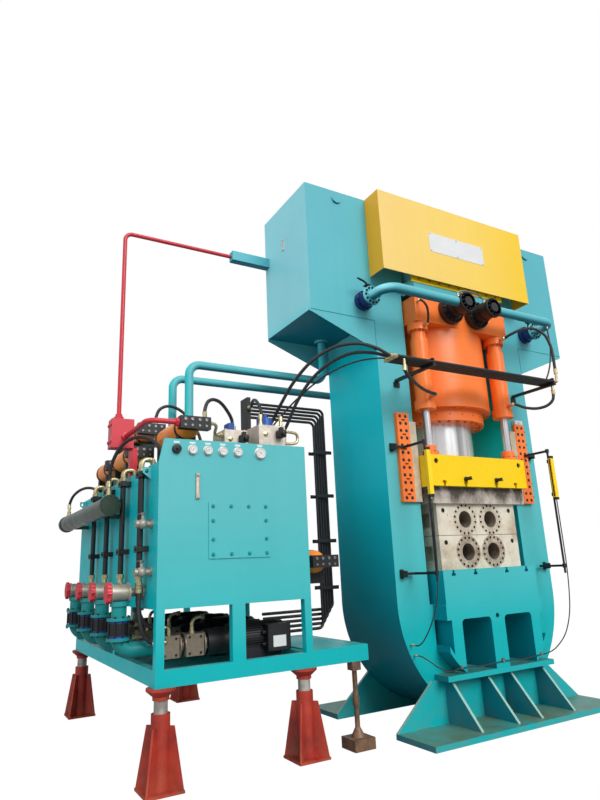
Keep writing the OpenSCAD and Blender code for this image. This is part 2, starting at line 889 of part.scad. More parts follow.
line_x = -195;
filter_z = 1440;
module suction_lines() {
  pipe_r = 62;
  flange_d = 190;
  color("teal") at_unit()
    for (k = [0 : sets - 1])
      translate([0, set_y(k), 0]) {
        pipe_run([[line_x, 0, filter_z - 70], [line_x, 0, shaft_z], [pump_x, 0, shaft_z]], pipe_r, 120);
        for (z = [1075, 1232])
          translate([line_x, 0, z - 12]) cylinder(h = 24, d = flange_d);
        translate([line_x, 0, 1087]) cylinder(h = 133, d = 140);
        translate([line_x, 0, 1105]) cylinder(h = 97, d = 162);
      }
}

module suction_filters() {
  color("silver") at_unit()
    for (k = [0 : sets - 1])
      translate([0, set_y(k), filter_z]) rotate([0, -90, 0]) {
        cylinder(h = 16, d = 130);
        cylinder(h = 130, d = 70);
        translate([0, 0, 117]) cylinder(h = 155, d = 140);
        translate([0, 0, 272]) cylinder(h = 38, d = 150);
      }
  color("silver") at_unit()
    for (z = [1600, 1990])
      translate([0, 168, z]) rotate([0, -90, 0]) {
        cylinder(h = 16, d = 80);
        cylinder(h = 130, d = 52);
        translate([0, 0, 80]) sphere(d = 84);
        translate([0, 0, 118]) cylinder(h = 22, d = 66);
        translate([0, 0, 80]) rotate([0, 90, 0]) cylinder(h = 78, d = 26);
      }
}

riser_x = -60;
riser_in = 85;
riser_half = 27;
riser_z = 1585;
module riser_pipes() {
  pipe_d = 38;
  color("black") at_unit()
    for (k = [0 : sets - 1])
      translate([riser_x, set_y(k) - riser_in, 0]) {
        for (y = [-riser_half, riser_half])
          translate([0, y, riser_z]) cylinder(h = tank_top - riser_z - 10, d = pipe_d);
        for (z = [1790, 2425])
          box([-30, -70, z - 22], [-riser_x, 70, z + 22]);
      }
}

cooler_x = -185;
cooler_z = 2220;
cooler_d = 184;
cooler_port_y = [988, 3128];
module cooler() {
  cap_d = cooler_d + 16;
  color("darkslategray") at_unit() {
    translate([cooler_x, 900, cooler_z]) rotate([-90, 0, 0]) {
      cylinder(h = 2350, d = cooler_d);
      cylinder(h = 60, d = cap_d);
      translate([0, 0, 2290]) cylinder(h = 60, d = cap_d);
    }
    for (y = [1300, 2800])
      box([cooler_x, y, cooler_z - 90], [0, y + 60, cooler_z - 50]);
  }
}

// A round-ended pressure bottle along +Y, with its oil port at the front.
acc_d = 220;
port_neck_l = 30;
module bottle(l) {
  translate([0, acc_d / 2, 0]) rotate([-90, 0, 0]) cylinder(h = l - acc_d, d = acc_d);
  for (y = [acc_d / 2, l - acc_d / 2])
    translate([0, y, 0]) sphere(d = acc_d);
  translate([0, -port_neck_l, 0]) rotate([-90, 0, 0]) cylinder(h = acc_d / 2, d = 80);
}

// Place and length of each accumulator, and the height that its saddles stand on.
acc_spots = [
  [[370, 230, 2890], 900, tank_top],
  [[290, 1330, 3062], 700, 2945],
  [[190, 1400, 2820], 800, tank_top],
  [[190, 2320, 2820], 700, tank_top],
  [[unit_w + 250, 230, 1627], 700, 1480]
];

module accumulators() {
  color("orangered") at_unit()
    for (a = acc_spots)
      translate(a[0]) bottle(a[1]);
}

// A saddle under a bottle, cut to its round.
module saddle(spot, y) {
  w = 170;
  t = 70;
  seat = 0.3;
  difference() {
    translate([spot[0][0] - w / 2, spot[0][1] + y, spot[2]]) cube([w, t, spot[0][2] - 70 - spot[2]]);
    translate(spot[0]) rotate([-90, 0, 0]) cylinder(h = spot[1], d = acc_d + 2 * seat);
  }
}

acc_block = [290, 90, 115];
module accumulator_blocks() {
  shelf_w = 360;
  color("black") at_unit() {
    for (a = acc_spots) {
      translate(a[0] - [acc_block[0] / 2, acc_block[1] + port_neck_l, acc_block[2] / 2]) cube(acc_block);
      for (y = [120, a[1] - 190])
        saddle(a, y);
    }
    for (y = [120, 510])
      translate([unit_w, acc_spots[4][0][1] + y, acc_spots[4][2] - 60]) cube([shelf_w, 70, 60]);
    for (y = [70, 560])
      translate([acc_spots[1][0][0] - 170, acc_spots[1][0][1] + y, 2930]) cube([320, 170, 15]);
  }
}

valve_tops = [2950, 2900, 2850];
module valve_blocks() {
  color("linen") at_unit() {
    box([unit_w - 370, 230, tank_top], [unit_w - 80, 530, valve_tops[0]]);
    box([unit_w - 690, 330, tank_top], [unit_w - 450, 630, valve_tops[1]]);
    box([unit_w - 690, 1110, tank_top], [unit_w - 90, 1500, valve_tops[2]]);
    translate([unit_w - 225, 380, valve_tops[0]]) cylinder(h = 90, d = 150);
  }
}

// End of the pipe tray, and the small gap left where a pipe meets a face.
tray_x = -wing_x1 - 483;
tray_y = [400, frame_d / 2];
tray_z = [5100, 5215];
seat_gap = 0.3;
module red_pipework() {
  red = [-116, 990];
  pipe_r = 22;
  tray_end = [tray_x - unit_x - seat_gap, red[1], tray_z[0] + 60];
  block_x = acc_spots[0][0][0] - acc_block[0] / 2;
  feed_x = -60;
  feed_z = acc_spots[0][0][2];
  feed_r = 24;
  color("crimson") at_unit() {
    box([red[0] - 80, red[1] - 80, 2780], [20, red[1] + 80, 3070]);
    pipe_run([[red[0], red[1], 3060], [red[0], red[1], tray_end[2]], tray_end], pipe_r, 80);
    box([0, red[1] - 40, tank_top], [70, red[1] + 40, 2790]);
    pipe_run([[feed_x, red[1] - 60, feed_z], [feed_x, 155, feed_z],
      [block_x - seat_gap, 155, feed_z]], feed_r, 90);
  }
}

module link_pipes() {
  drop_x = wing_x0 + 206;
  flange_r = 85;
  flange_t = 30;
  upper_y = 310;
  lower_y = main_d / 2 + 150;
  color("mediumturquoise") at_press() {
    pipe_run([[-3030, upper_y, tank_top], [-3030, upper_y, 3700], [-drop_x, upper_y, 3700],
      [-drop_x, upper_y, wing_z]],
      link_d / 2, 120);
    pipe_run([[-3030, lower_y, tank_top], [-3030, lower_y, 3700], [drop_x, lower_y, 3700],
      [drop_x, upper_y, 3700],
      [drop_x, upper_y, wing_z]], link_d / 2, 120);
    for (x = [-drop_x, drop_x])
      translate([x, upper_y, wing_z - flange_t]) cylinder(h = flange_t, r = flange_r);
    box([tray_x, tray_y[0], tray_z[0]], [-wing_x1, tray_y[1], tray_z[1]]);
  }
}

rack_y = 400;
module pipe_rack() {
  rack_x = -frame_w / 2 - 320;
  post_x = unit_right - 140;
  pitch = 46;
  pipe_r = 16;
  color("black") at_press() {
    for (k = [0 : 4])
      pipe_run([[unit_right, rack_y + 20 * k, 940 + pitch * k],
        [rack_x + pitch * k, rack_y + 20 * k, 940 + pitch * k],
        [rack_x + pitch * k, rack_y + 20 * k, 3200 + pitch * k],
        [post_x, rack_y + 20 * k, 3200 + pitch * k]], pipe_r, 60);
    box([post_x - 40, rack_y - 40, tank_top], [post_x, rack_y + 140, 3420]);
  }
}

// A stand with a sleeve on four ribs, a screw tube and a flared head.
module jack_stand() {
  base = 300;
  base_t = 20;
  rib_t = 16;
  rib_r = [200, 118];
  rib_top = 455;
  sleeve_top = 540;
  head_z = 635;
  translate([-base / 2, -base / 2, 0]) cube([base, base, base_t]);
  cylinder(h = sleeve_top, d = 148);
  for (a = [45 : 90 : 315])
    rotate([90, 0, a]) translate([0, 0, -rib_t / 2]) linear_extrude(rib_t)
      polygon([[0, base_t - eps], [rib_r[0], base_t - eps], [rib_r[1], rib_top], [0, rib_top]]);
  cylinder(h = head_z, d = 108);
  translate([0, 0, head_z]) cylinder(h = 25, d = 132);
  translate([0, 0, head_z + 25]) cylinder(h = 44, d1 = 132, d2 = 236);
  translate([0, 0, head_z + 69]) cylinder(h = unit_z - head_z - 69, d = 236);
}

// A bare prop on a block.
module prop() {
  foot = 220;
  foot_block_h = 95;
  translate([-foot / 2, -foot / 2, 0]) cube([foot, foot, foot_block_h]);
  translate([0, 0, foot_block_h]) cylinder(h = 80, d1 = 130, d2 = 46);
  cylinder(h = unit_z, d = 46);
  translate([0, 0, 350]) cylinder(h = 70, d = 62);
  translate([-45, -45, unit_z - 75]) cube([90, 90, 75]);
}

module jack_stands() {
  spots = [[70, 70], [unit_w - 70, 70], [70, unit_l - 70], [unit_w - 70, unit_l - 70]];
  color("firebrick") at_unit() {
    for (p = spots)
      translate([p[0], p[1], 0]) jack_stand();
    translate([unit_w + 450, 40, 0]) prop();
  }
}

// Hose routes, measured from the middle of the frame; those on the press go with its return cylinders.
hose_d = 34;
thin_d = 18;
short_d = 26;
cable_d = 12;
function beside(s, pts) = [for (p = pts) [s * (return_x + p[0]), p[1], p[2]]];
boss_y = return_y + boss_l;
boss_low_z = 3330;
boss_top_z = block_z - top_ring_h / 2;
stub_z = 3470;
hose_left_top = beside(-1, [[70, -block_d / 2 - seat_gap, 4440], [70, -745, 4440], [58, -790, 4400],
  [40, -815, 4330],
  [20, -800, 4240], [5, -770, 4185], [0, -745, boss_top_z], [0, -boss_y - seat_gap, boss_top_z]]);
hose_left_low = beside(-1, [[690, -1100, stub_z], [690, -1100, 3420], [640, -1080, 3370],
  [530, -1020, 3350],
  [390, -930, 3345], [240, -850, 3335], [110, -800, 3330], [30, -780, 3330], [0, -755, boss_low_z],
  [0, -boss_y - seat_gap, boss_low_z]]);
hose_right_top = beside(1, [[0, -boss_y - seat_gap, boss_top_z], [0, -765, boss_top_z], [40, -845, 4200],
  [130, -930, 4240], [240, -1010, 4240], [340, -1070, 4160], [390, -1095, 4020], [400, -1100, 3880],
  [400, -1100, 3740], [400, -1100, 3660 + seat_gap]]);
hose_right_low = beside(1, [[352, -1060, stub_z - seat_gap], [352, -1060, 3420], [335, -1050, 3340],
  [280, -1000, 3280],
  [200, -920, 3260], [110, -840, 3280], [35, -785, 3320], [0, -755, boss_low_z],
  [0, -boss_y - seat_gap, boss_low_z]]);
hose_right_thin = beside(1, [[580, -prefill_y, prefill_z - prefill_d / 2 - seat_gap], [580, -952, 4250],
  [560, -970, 4100],
  [510, -990, 3950], [440, -1010, 3800], [370, -1020, 3680], [330, -1020, 3620],
  [330, -1020, manifold_z + manifold_d / 2 + seat_gap]]);
// Sensor cables from the light curtains to the glands in the frame's front.
gland_right = [-1000, -540, 700];
gland_left = [-1030, -540, 800];
cable_right = [[curtain_x, -903, 2200 - seat_gap], [curtain_x, -903, 2050], [945, -900, 1800],
  [950, -895, 1500],
  [945, -880, 1200], [925, -855, 960], [870, -810, 760], [780, -750, 630], [690, -706, 575],
  [580, -698, 566],
  [300, -698, 552], [0, -698, 561], [-300, -698, 550], [-580, -698, 560], [-740, -702, 545],
  [-860, -690, 590],
  [-950, -650, 660], [-1000, -600, 700], gland_right - [0, seat_gap, 0]];
cable_left = [[-curtain_x, -903, 2200 - seat_gap], [-curtain_x, -903, 2050], [-945, -900, 1800],
  [-950, -895, 1500],
  [-965, -865, 1220], [-1000, -790, 1000], [-1025, -690, 850],
  [-1030, -610, 800], gland_left - [0, seat_gap, 0]];
module press_hoses() {
  color("black") at_press() {
    hose(hose_left_top, short_d, [1, 0, 0]);
    hose(hose_left_low, hose_d, [0.4, 0.8, 0.3]);
    hose(hose_right_top, hose_d, [1, 0.5, 0]);
    hose(hose_right_low, hose_d, [1, 0.6, 0]);
    hose(hose_right_thin, thin_d, [1, 1, 0]);
    hose(cable_right, cable_d, [0.3, 1, 0.1]);
    hose(cable_left, cable_d, [1, 0.2, 0]);
  }
}

supply_a = [[manifold_x0 - seat_gap, -1100, manifold_z], [manifold_x0 - 70, -1100, manifold_z],
  [-1620, -1070, 3620],
  [-1780, -980, 3670], [-1960, -830, 3650], [-2110, -650, 3540], [-2210, -460, 3370], [-2260, -290, 3200],
  [-2278, -160, 3080], [unit_right - 120, -60, 3010], [unit_right - 120, -60, valve_tops[0] + seat_gap]];
supply_b = [[manifold_x0 - seat_gap, -1060, manifold_z], [manifold_x0 - 70, -1060, manifold_z],
  [-1620, -1000, 3590],
  [-1780, -880, 3600], [-1930, -700, 3530], [-2040, -500, 3390], [-2110, -330, 3200], [-2150, -200, 3010],
  [unit_right - 5, -150, 2940], [unit_right - 5, -150, 2880 + seat_gap]];
supply_c = [[manifold_x0 - seat_gap, -980, manifold_z], [manifold_x0 - 80, -980, manifold_z],
  [-1700, -880, 3530],
  [-1880, -690, 3460], [-2010, -480, 3350], [-2110, -270, 3220], [-2190, -110, 3090], [-2240, -35, 3010],
  [unit_right - 102, -20, 2990], [unit_right - 102, -20, valve_tops[0] + seat_gap]];
module supply_hoses() {
  color("black") at_press() {
    hose(supply_a, hose_d, [0, 0.8, 0.6]);
    hose(supply_b, hose_d, [0, 0.8, 0.6]);
    hose(supply_c, thin_d, [0, 0.8, 0.6]);
  }
}

// Hoses on the power unit: two from the cooler, three over the roof, and two from each riser to its pump.
cooler_hose_z = 2400;
unit_a = [[-3775, 460, cooler_hose_z + seat_gap], [-3775, 460, 2480], [-3770, 420, 2600],
  [-3740, 340, 2720],
  [-3690, 240, 2800],
  [-3620, 110, 2830], [-3540, -20, 2800], [-3480, -120, 2720], [-3445, -190, 2630], [-3440, -200, 2560],
  [-3440, -200, tank_top + seat_gap]];
unit_b = [[-3775, 2600, cooler_hose_z + seat_gap], [-3775, 2600, 2460], [-3750, 2540, 2550],
  [-3700, 2430, 2610],
  [-3640, 2300, 2630], [-3580, 2180, 2610], [-3545, 2110, 2570], [-3540, 2090, 2540],
  [-3540, 2090, tank_top + seat_gap]];
unit_c = [[-3120, -373, 2948], [-3120, -373, 3020], [-3080, -340, 3110], [-3000, -280, 3160],
  [-2900, -210, 3160],
  [-2810, -150, 3110], [-2730, -100, 3020], [-2730, -100, valve_tops[1] + seat_gap]];
unit_d = [[-2450, -220, valve_tops[0] + seat_gap], [-2450, -220, 3030], [-2450, -170, 3160],
  [-2430, -50, 3260],
  [-2390, 100, 3310], [-2350, 220, 3310], [-2320, 300, 3300], [-2320, rack_y - 40 - seat_gap, 3300]];
unit_e = [[-3250, 727, 3120], [-3250, 727, 3200], [-3210, 722, 3290], [-3120, 715, 3330],
  [-3000, 708, 3300],
  [-2880, 703, 3200], [-2790, 700, 3060], [-2750, 700, 2940], [-2750, 700, valve_tops[2] + seat_gap]];
drop_z = 1490;
low_port = [110, -122, 1030];
high_port = [150, -58, 1140];
drop_low = [[riser_x, -riser_in - riser_half, drop_z - seat_gap], [riser_x, -riser_in - riser_half, 1420],
  [-64, -116, 1320], [-56, -122, 1220], [-30, -122, 1125], [15, -122, 1060],
  [60, -122, 1030], low_port - [seat_gap, 0, 0]];
drop_high = [[riser_x, -riser_in + riser_half, drop_z - seat_gap], [riser_x, -58, 1420], [-54, -58, 1330],
  [-25, -58, 1235],
  [30, -58, 1168], [100, -58, 1140], high_port - [seat_gap, 0, 0]];
module unit_hoses() {
  color("black") at_press() {
    hose(unit_a, hose_d, [0.9, 0.45, 0]);
    hose(unit_b, hose_d, [0.9, 0.45, 0]);
    hose(unit_c, hose_d, [-0.6, 0.8, 0]);
    hose(unit_d, hose_d, [1, -0.2, 0]);
    hose(unit_e, hose_d, [0, 1, 0]);
  }
  color("black") at_unit()
    for (k = [0 : sets - 1])
      translate([0, set_y(k), 0]) {
        hose(drop_low, hose_d, [0, 1, 0]);
        hose(drop_high, hose_d, [0, 1, 0]);
      }
}

// Zinc plated stubs and elbows that carry the hose ends.
module hose_fittings() {
  r = 15;
  stub_l = manifold_z - manifold_d / 2 - stub_z;
  right_x = return_x + 400;
  color("wheat") at_press() {
    translate([-return_x - 690, -1100, stub_z + seat_gap]) cylinder(h = stub_l - seat_gap, r = r);
    translate([return_x + 352, -1060, stub_z]) cylinder(h = stub_l, r = r);
    pipe_run([[right_x, -1100, 3660], [right_x, -1100, manifold_z],
      [manifold_x1, -1100, manifold_z]], r, 25);
    pipe_run([[unit_right - 5, -150, 2880], [unit_right - 5, -150, 2800],
      [unit_right - 80, -150, 2800]], r, 40);
    for (g = [gland_left, gland_right])
      translate(g) rotate([-90, 0, 0]) cylinder(h = -g[1] - frame_d / 2, r = 11);
  }
  cooler_top = cooler_z + cooler_d / 2 + seat_gap;
  color("wheat") at_unit()
    for (y = cooler_port_y)
      translate([cooler_x, y, cooler_top]) cylinder(h = cooler_hose_z - cooler_top, r = r);
  color("wheat") at_unit()
    for (k = [0 : sets - 1])
      translate([0, set_y(k), 0]) {
        for (y = [-riser_half, riser_half])
          translate([riser_x, y - riser_in, drop_z]) cylinder(h = riser_z - drop_z, r = r + 4);
        pipe_run([[180, pump_box[0][1] - seat_gap, low_port[2]],
          [180, low_port[1], low_port[2]], low_port], r, 20);
        pipe_run([[215, high_port[1], shaft_z + pump_box[1][2] + seat_gap],
          [215, high_port[1], high_port[2]], high_port], r, 30);
      }
}

frame_columns();
frame_arches();
lower_yoke();
upper_yoke();
foot_plates();
foot_webs();
foot_bars();
foot_gussets();
bolster();
lower_die();
wing_tank_ends();
wing_tank_sides();
wing_tank_floors();
wing_tank_roofs();
wing_tank_brackets();
yellow_cover();
cylinder_block();
main_cylinder();
gland_ring();
return_cylinders();
prefill_valves();
prefill_pipes();
butterfly_valves();
guide_strips();
gibs();
manifold_pipes();
column_brackets();
light_curtains();
ram();
return_rods();
rod_lugs();
slide();
upper_tool_plate();
upper_die();
unit_base();
bay_posts();
tank_ends();
tank_sides();
tank_floor();
tank_roof();
gauge_panel();
access_cover();
motors();
bell_housings();
pumps();
suction_lines();
suction_filters();
riser_pipes();
cooler();
accumulators();
accumulator_blocks();
valve_blocks();
red_pipework();
link_pipes();
pipe_rack();
jack_stands();
hose_fittings();
press_hoses();
supply_hoses();
unit_hoses();
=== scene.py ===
import math
import random

import bmesh
import bpy
from mathutils import Matrix, Vector


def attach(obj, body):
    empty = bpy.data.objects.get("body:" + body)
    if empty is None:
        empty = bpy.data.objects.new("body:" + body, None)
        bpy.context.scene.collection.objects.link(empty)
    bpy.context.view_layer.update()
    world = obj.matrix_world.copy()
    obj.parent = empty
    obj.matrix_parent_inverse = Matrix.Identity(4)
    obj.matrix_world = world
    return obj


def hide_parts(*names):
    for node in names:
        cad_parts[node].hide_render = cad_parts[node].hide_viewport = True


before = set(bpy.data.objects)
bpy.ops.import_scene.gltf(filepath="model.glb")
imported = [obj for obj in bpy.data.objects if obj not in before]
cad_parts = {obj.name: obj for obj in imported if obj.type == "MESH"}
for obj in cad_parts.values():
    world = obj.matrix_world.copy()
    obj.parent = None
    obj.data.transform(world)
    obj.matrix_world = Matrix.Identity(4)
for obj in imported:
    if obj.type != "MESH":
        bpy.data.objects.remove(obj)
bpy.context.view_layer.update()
random.seed(7)

# Places and sizes are in millimetres; materials and the floor are in metres, like the frame.
PRESS = Vector((0, 767.5, 0))  # the middle of the press in the frame
ROD_X, ROD_Y = 610, 580  # return cylinders and their rods
VALVE_X, VALVE_Z = 204, 4400  # prefill valves; the butterfly valves have the same height
BUTTERFLY_X = 1305
PORT_X, LOW_PORT_Z, HIGH_PORT_Z = 190, 1660, 2005  # ports in the dies
DIE_FACE = -570
MANIFOLD_Y, MANIFOLD_Z = -1020, 3555
CURTAIN_X = 940
WING_WALL = -1986  # the left wing tank's outer wall

UNIT = Vector((-3590, 239.5, 0))  # the power unit's left front corner in the frame
SHAFT_Z = 985  # motors
SUCTION_X = -195
FILTER_Z = 1440
RISER_X = -60
COOLER_X, COOLER_Z = -185, 2220
SETS = 4  # pump sets, one behind the other

CORNERS = [(sx, sy) for sx in (-1, 1) for sy in (-1, 1)]
X, Y, Z = Vector((1, 0, 0)), Vector((0, 1, 0)), Vector((0, 0, 1))


def set_origin(k):
    """The power unit's left side at the axis of pump set k, in the frame."""
    return Vector((UNIT.x, PRESS.y - 128 + 635 * k, 0))


def spot(p):
    """A point in the frame: a vector is one already, other places are measured from Build.origin."""
    return p if isinstance(p, Vector) else Vector(p) + Build.origin


def place(name, data):
    """A new object in the scene."""
    ob = bpy.data.objects.new(name, data)
    bpy.context.scene.collection.objects.link(ob)
    return ob


def make_camera():
    """Camera fitted to the straight edges in the photograph."""
    yaw, pitch, roll = (math.radians(a) for a in (30.351, 15.212, -2.541))
    forward = Vector((math.sin(yaw) * math.cos(pitch), math.cos(yaw) * math.cos(pitch), math.sin(pitch)))
    level = Vector((math.cos(yaw), -math.sin(yaw), 0))
    upright = level.cross(forward)
    right = level * math.cos(roll) + upright * math.sin(roll)
    up = upright * math.cos(roll) - level * math.sin(roll)
    data = bpy.data.cameras.new("camera")
    data.sensor_width = 36
    data.lens = 27.30
    data.clip_end = 200
    camera = place("camera", data)
    pose = Matrix((right, up, -forward)).transposed().to_4x4()
    pose.translation = (PRESS + Vector((-5105, -5516, 1600))) / 1000
    camera.matrix_world = pose
    bpy.context.scene.camera = camera


make_camera()


# Materials.
def srgb(r, g, b):
    """A colour as it reads on screen, 0 to 255, as linear values."""
    out = []
    for c in (r, g, b):
        c /= 255
        out.append(c / 12.92 if c <= 0.04045 else ((c + 0.055) / 1.055) ** 2.4)
    return (*out, 1)


class Tree:
    """A node tree with a few shorthand calls."""

    def __init__(self, tree, coordinates):
        self.tree = tree
        self.spot = self.new("ShaderNodeTexCoord").outputs[coordinates]
        self.xyz = None

    def new(self, kind, **inputs):
        """A new node; values or sockets for its inputs go by name, with _ for a space."""
        n = self.tree.nodes.new(kind)
        for key, value in inputs.items():
            self.put(value, n.inputs[key.replace("_", " ")])
        return n

    def put(self, value, socket):
        if isinstance(value, bpy.types.NodeSocket):
            self.tree.links.new(value, socket)
        else:
            socket.default_value = value

    def noise(self, scale, detail=4, rough=0.55, stretch=None):
        where = self.spot
        if stretch:
            where = self.new("ShaderNodeMapping", Scale=stretch, Vector=where).outputs[0]
        n = self.new("ShaderNodeTexNoise", Scale=scale, Detail=detail, Roughness=rough, Vector=where)
        return n.outputs["Fac"]

    def ramp(self, fac, *stops):
        n = self.new("ShaderNodeValToRGB", Fac=fac)
        elements = n.color_ramp.elements
        while len(elements) < len(stops):
            elements.new(0.5)
        for element, (position, col) in zip(elements, stops):
            element.position = position
            element.color = col if not isinstance(col, (int, float)) else (col, col, col, 1)
        return n.outputs["Color"]

    def mix(self, fac, a, b, mode="MIX"):
        n = self.new("ShaderNodeMix")
        n.data_type = "RGBA"
        n.blend_type = mode
        for i, value in ((0, fac), (6, a), (7, b)):
            self.put(value, n.inputs[i])
        return n.outputs[2]

    def math(self, op, a, b=0.0):
        n = self.new("ShaderNodeMath")
        n.operation = op
        self.put(a, n.inputs[0])
        self.put(b, n.inputs[1])
        return n.outputs[0]

    def times(self, a, b):
        return self.math("MULTIPLY", a, b)

    def axis(self, i):
        """The place along one axis of the frame."""
        if self.xyz is None:
            self.xyz = self.new("ShaderNodeSeparateXYZ", Vector=self.spot).outputs
        return self.xyz[i]

    def span(self, value, lo, hi, a=0.0, b=1.0):
        """Maps value from lo..hi to a..b, held at the ends."""
        n = self.new("ShaderNodeMapRange", Value=value, From_Min=lo, From_Max=hi, To_Min=a, To_Max=b)
        return n.outputs[0]

    def band(self, value, lo, hi, soft):
        """1 between lo and hi."""
        return self.times(self.span(value, lo - soft, lo), self.span(value, hi, hi + soft, 1, 0))

    def radius(self, i, j, a, b):
        """Distance from the point a, b in the plane of axes i and j."""
        da = self.math("SUBTRACT", self.axis(i), a)
        db = self.math("SUBTRACT", self.axis(j), b)
        return self.math("SQRT", self.math("ADD", self.times(da, da), self.times(db, db)))

    def normal(self, i):
        """One part of the direction that the face looks in."""
        normal = self.new("ShaderNodeNewGeometry").outputs["Normal"]
        return self.new("ShaderNodeSeparateXYZ", Vector=normal).outputs[i]

    def up(self):
        """1 on faces that look up."""
        return self.math("MAXIMUM", self.normal(2), 0.0)

    def facing_left(self):
        """1 on faces that look to the left of the press."""
        return self.span(self.normal(0), -0.9, -0.3, 1, 0)

    def blend(self, fac, a, b, output):
        """Sends a mix of two shaders to the output."""
        n = self.new("ShaderNodeMixShader")
        for value, socket in zip((fac, a, b), n.inputs):
            self.put(value, socket)
        self.put(n.outputs[0], self.tree.nodes[output].inputs[0])


class Mat(Tree):
    """A material for surfaces."""

    def __init__(self, name, rough=0.4, metal=0.0, spec=0.5):
        self.material = bpy.data.materials.new(name)
        self.material.use_nodes = True
        super().__init__(self.material.node_tree, "Object")
        self.shader = self.tree.nodes["Principled BSDF"].inputs
        for key, value in (("Roughness", rough), ("Metallic", metal), ("Specular IOR Level", spec)):
            self.shader[key].default_value = value

    def color(self, c):
        self.put(c, self.shader["Base Color"])

    def tone(self):
        """The colour that is set so far."""
        return self.shader["Base Color"].links[0].from_socket

    def rough(self, c):
        self.put(c, self.shader["Roughness"])

    def metal(self, c):
        self.put(c, self.shader["Metallic"])

    def bump(self, height, strength, distance):
        n = self.new("ShaderNodeBump", Strength=strength, Distance=distance, Height=height)
        self.put(n.outputs[0], self.shader["Normal"])


def paint(name, col, rough=0.36, vary=0.10, dust=0.25, dust_col=srgb(190, 178, 155), dust_low=0.15,
          ground=0.0, spec=0.4):
    """Sprayed enamel: slow tone drift, fine orange peel, runs, and dust on what looks up."""
    m = Mat(name, rough=rough, spec=spec)
    base = col(m) if callable(col) else col
    shade = m.ramp(m.noise(0.9, 5, 0.6), (0.25, 1 - vary), (0.75, 1.0))
    runs = m.noise(1.0, 3, 0.5, stretch=(9, 9, 0.5))
    shade = m.mix(m.span(runs, 0.52, 0.75, 0, 0.5), shade, (1 - vary, 1 - vary, 1 - vary, 1))
    speck = m.noise(60, 2, 0.5)
    shade = m.mix(m.span(speck, 0.66, 0.74, 0, 0.3), shade, (0.72, 0.72, 0.72, 1))
    tone = m.mix(1.0, base, shade, "MULTIPLY")
    if dust:
        grime = m.times(m.span(m.up(), 0.6, 0.95), m.span(m.noise(5, 6, 0.65), 0.35, 0.75, dust_low, 1))
        tone = m.mix(m.times(grime, dust), tone, dust_col)
    if ground:
        low = m.times(m.span(m.axis(2), 0.0, 0.5, 1, 0), m.span(m.noise(3.5, 6, 0.7), 0.4, 0.75))
        tone = m.mix(m.times(low, ground), tone, srgb(122, 96, 66))
    m.color(tone)
    m.rough(m.span(m.noise(3, 5, 0.6), 0.3, 0.7, rough - 0.07, rough + 0.1))
    m.bump(m.math("ADD", m.noise(160, 2, 0.5), m.times(m.noise(2.2, 2, 0.5), 3.0)), 0.15, 0.002)
    return m


def plain(name, col, rough=0.45, metal=0.0, grain=40, vary=0.2):
    """Cast, moulded or plated stuff with a mottled tone."""
    m = Mat(name, rough=rough, metal=metal)
    deep = tuple(c * (1 - vary) for c in col[:3]) + (1,)
    light = tuple(min(1, c * (1 + vary)) for c in col[:3]) + (1,)
    m.color(m.ramp(m.noise(grain, 5, 0.6), (0.3, deep), (0.52, col), (0.75, light)))
    m.rough(m.span(m.noise(grain * 0.5, 4, 0.6), 0.3, 0.7, rough - 0.08, rough + 0.12))
    m.bump(m.noise(grain * 6, 3, 0.6), 0.2, 0.001)
    return m


def teal_painted_light(m):
    """Teal with painted light and shade: paler with the height, shaded on the left sides, darkest
    underneath.
    """
    z = m.span(m.axis(2), 0.0, 6.0)
    # painted light: the front faces grow paler with the height
    front = m.ramp(z, (0.05, srgb(0, 168, 172)), (0.15, srgb(8, 172, 176)), (0.23, srgb(66, 180, 184)),
                   (0.36, srgb(90, 184, 188)), (0.85, srgb(90, 178, 190)))
    # painted shade on the faces that look left, deepest low down, with a painted highlight high on the wing
    # tanks
    side = m.ramp(z, (0.08, srgb(0, 125, 142)), (0.20, srgb(0, 144, 161)), (0.40, srgb(0, 206, 225)),
                  (0.66, srgb(0, 230, 245)), (0.72, srgb(156, 240, 252)))
    # painted shade of its own on the power unit's left faces
    on_unit = m.span(m.axis(0), -2.1, -2.0, 1, 0)
    side = m.mix(on_unit, side, srgb(0, 196, 204))
    # painted shade on the faces that look down
    under = m.span(m.normal(2), -0.9, -0.3, 1, 0)
    return m.mix(under, m.mix(m.facing_left(), front, side), srgb(0, 120, 142))


def foot_painted_light(m):
    """Teal with a painted highlight on the gussets' sloping faces, which look up."""
    return m.mix(m.band(m.up(), 0.4, 0.85, 0.05), teal_painted_light(m), srgb(150, 196, 186))


def cover_tone_and_side_shade(m):
    """Yellow that is paler towards the left, with painted shade making the faces that look left a deeper
    yellow.
    """
    front = m.ramp(m.span(m.axis(0), -1.2, 1.2), (0.0, srgb(236, 201, 116)), (0.6, srgb(241, 204, 92)),
                   (0.95, srgb(240, 198, 42)))
    # painted shade on the faces that look left
    return m.mix(m.facing_left(), front, srgb(255, 186, 30))


def orange_painted_shade(m):
    """Orange with painted shade: a little deeper on the faces that look left."""
    return m.mix(m.facing_left(), srgb(255, 127, 52), srgb(255, 126, 44))


teal = paint("teal", teal_painted_light, spec=0.25)
teal_foot = paint("teal_foot", foot_painted_light, ground=0.45, dust=0.95, dust_col=srgb(92, 96, 58), dust_low=0.4)
yellow_pale = paint("yellow_pale", cover_tone_and_side_shade, vary=0.06, dust=0.1)
yellow = paint("yellow", srgb(246, 205, 12), vary=0.05, rough=0.28, dust=0.15)
orange = paint("orange", orange_painted_shade, vary=0.07, rough=0.30, dust=0.15)
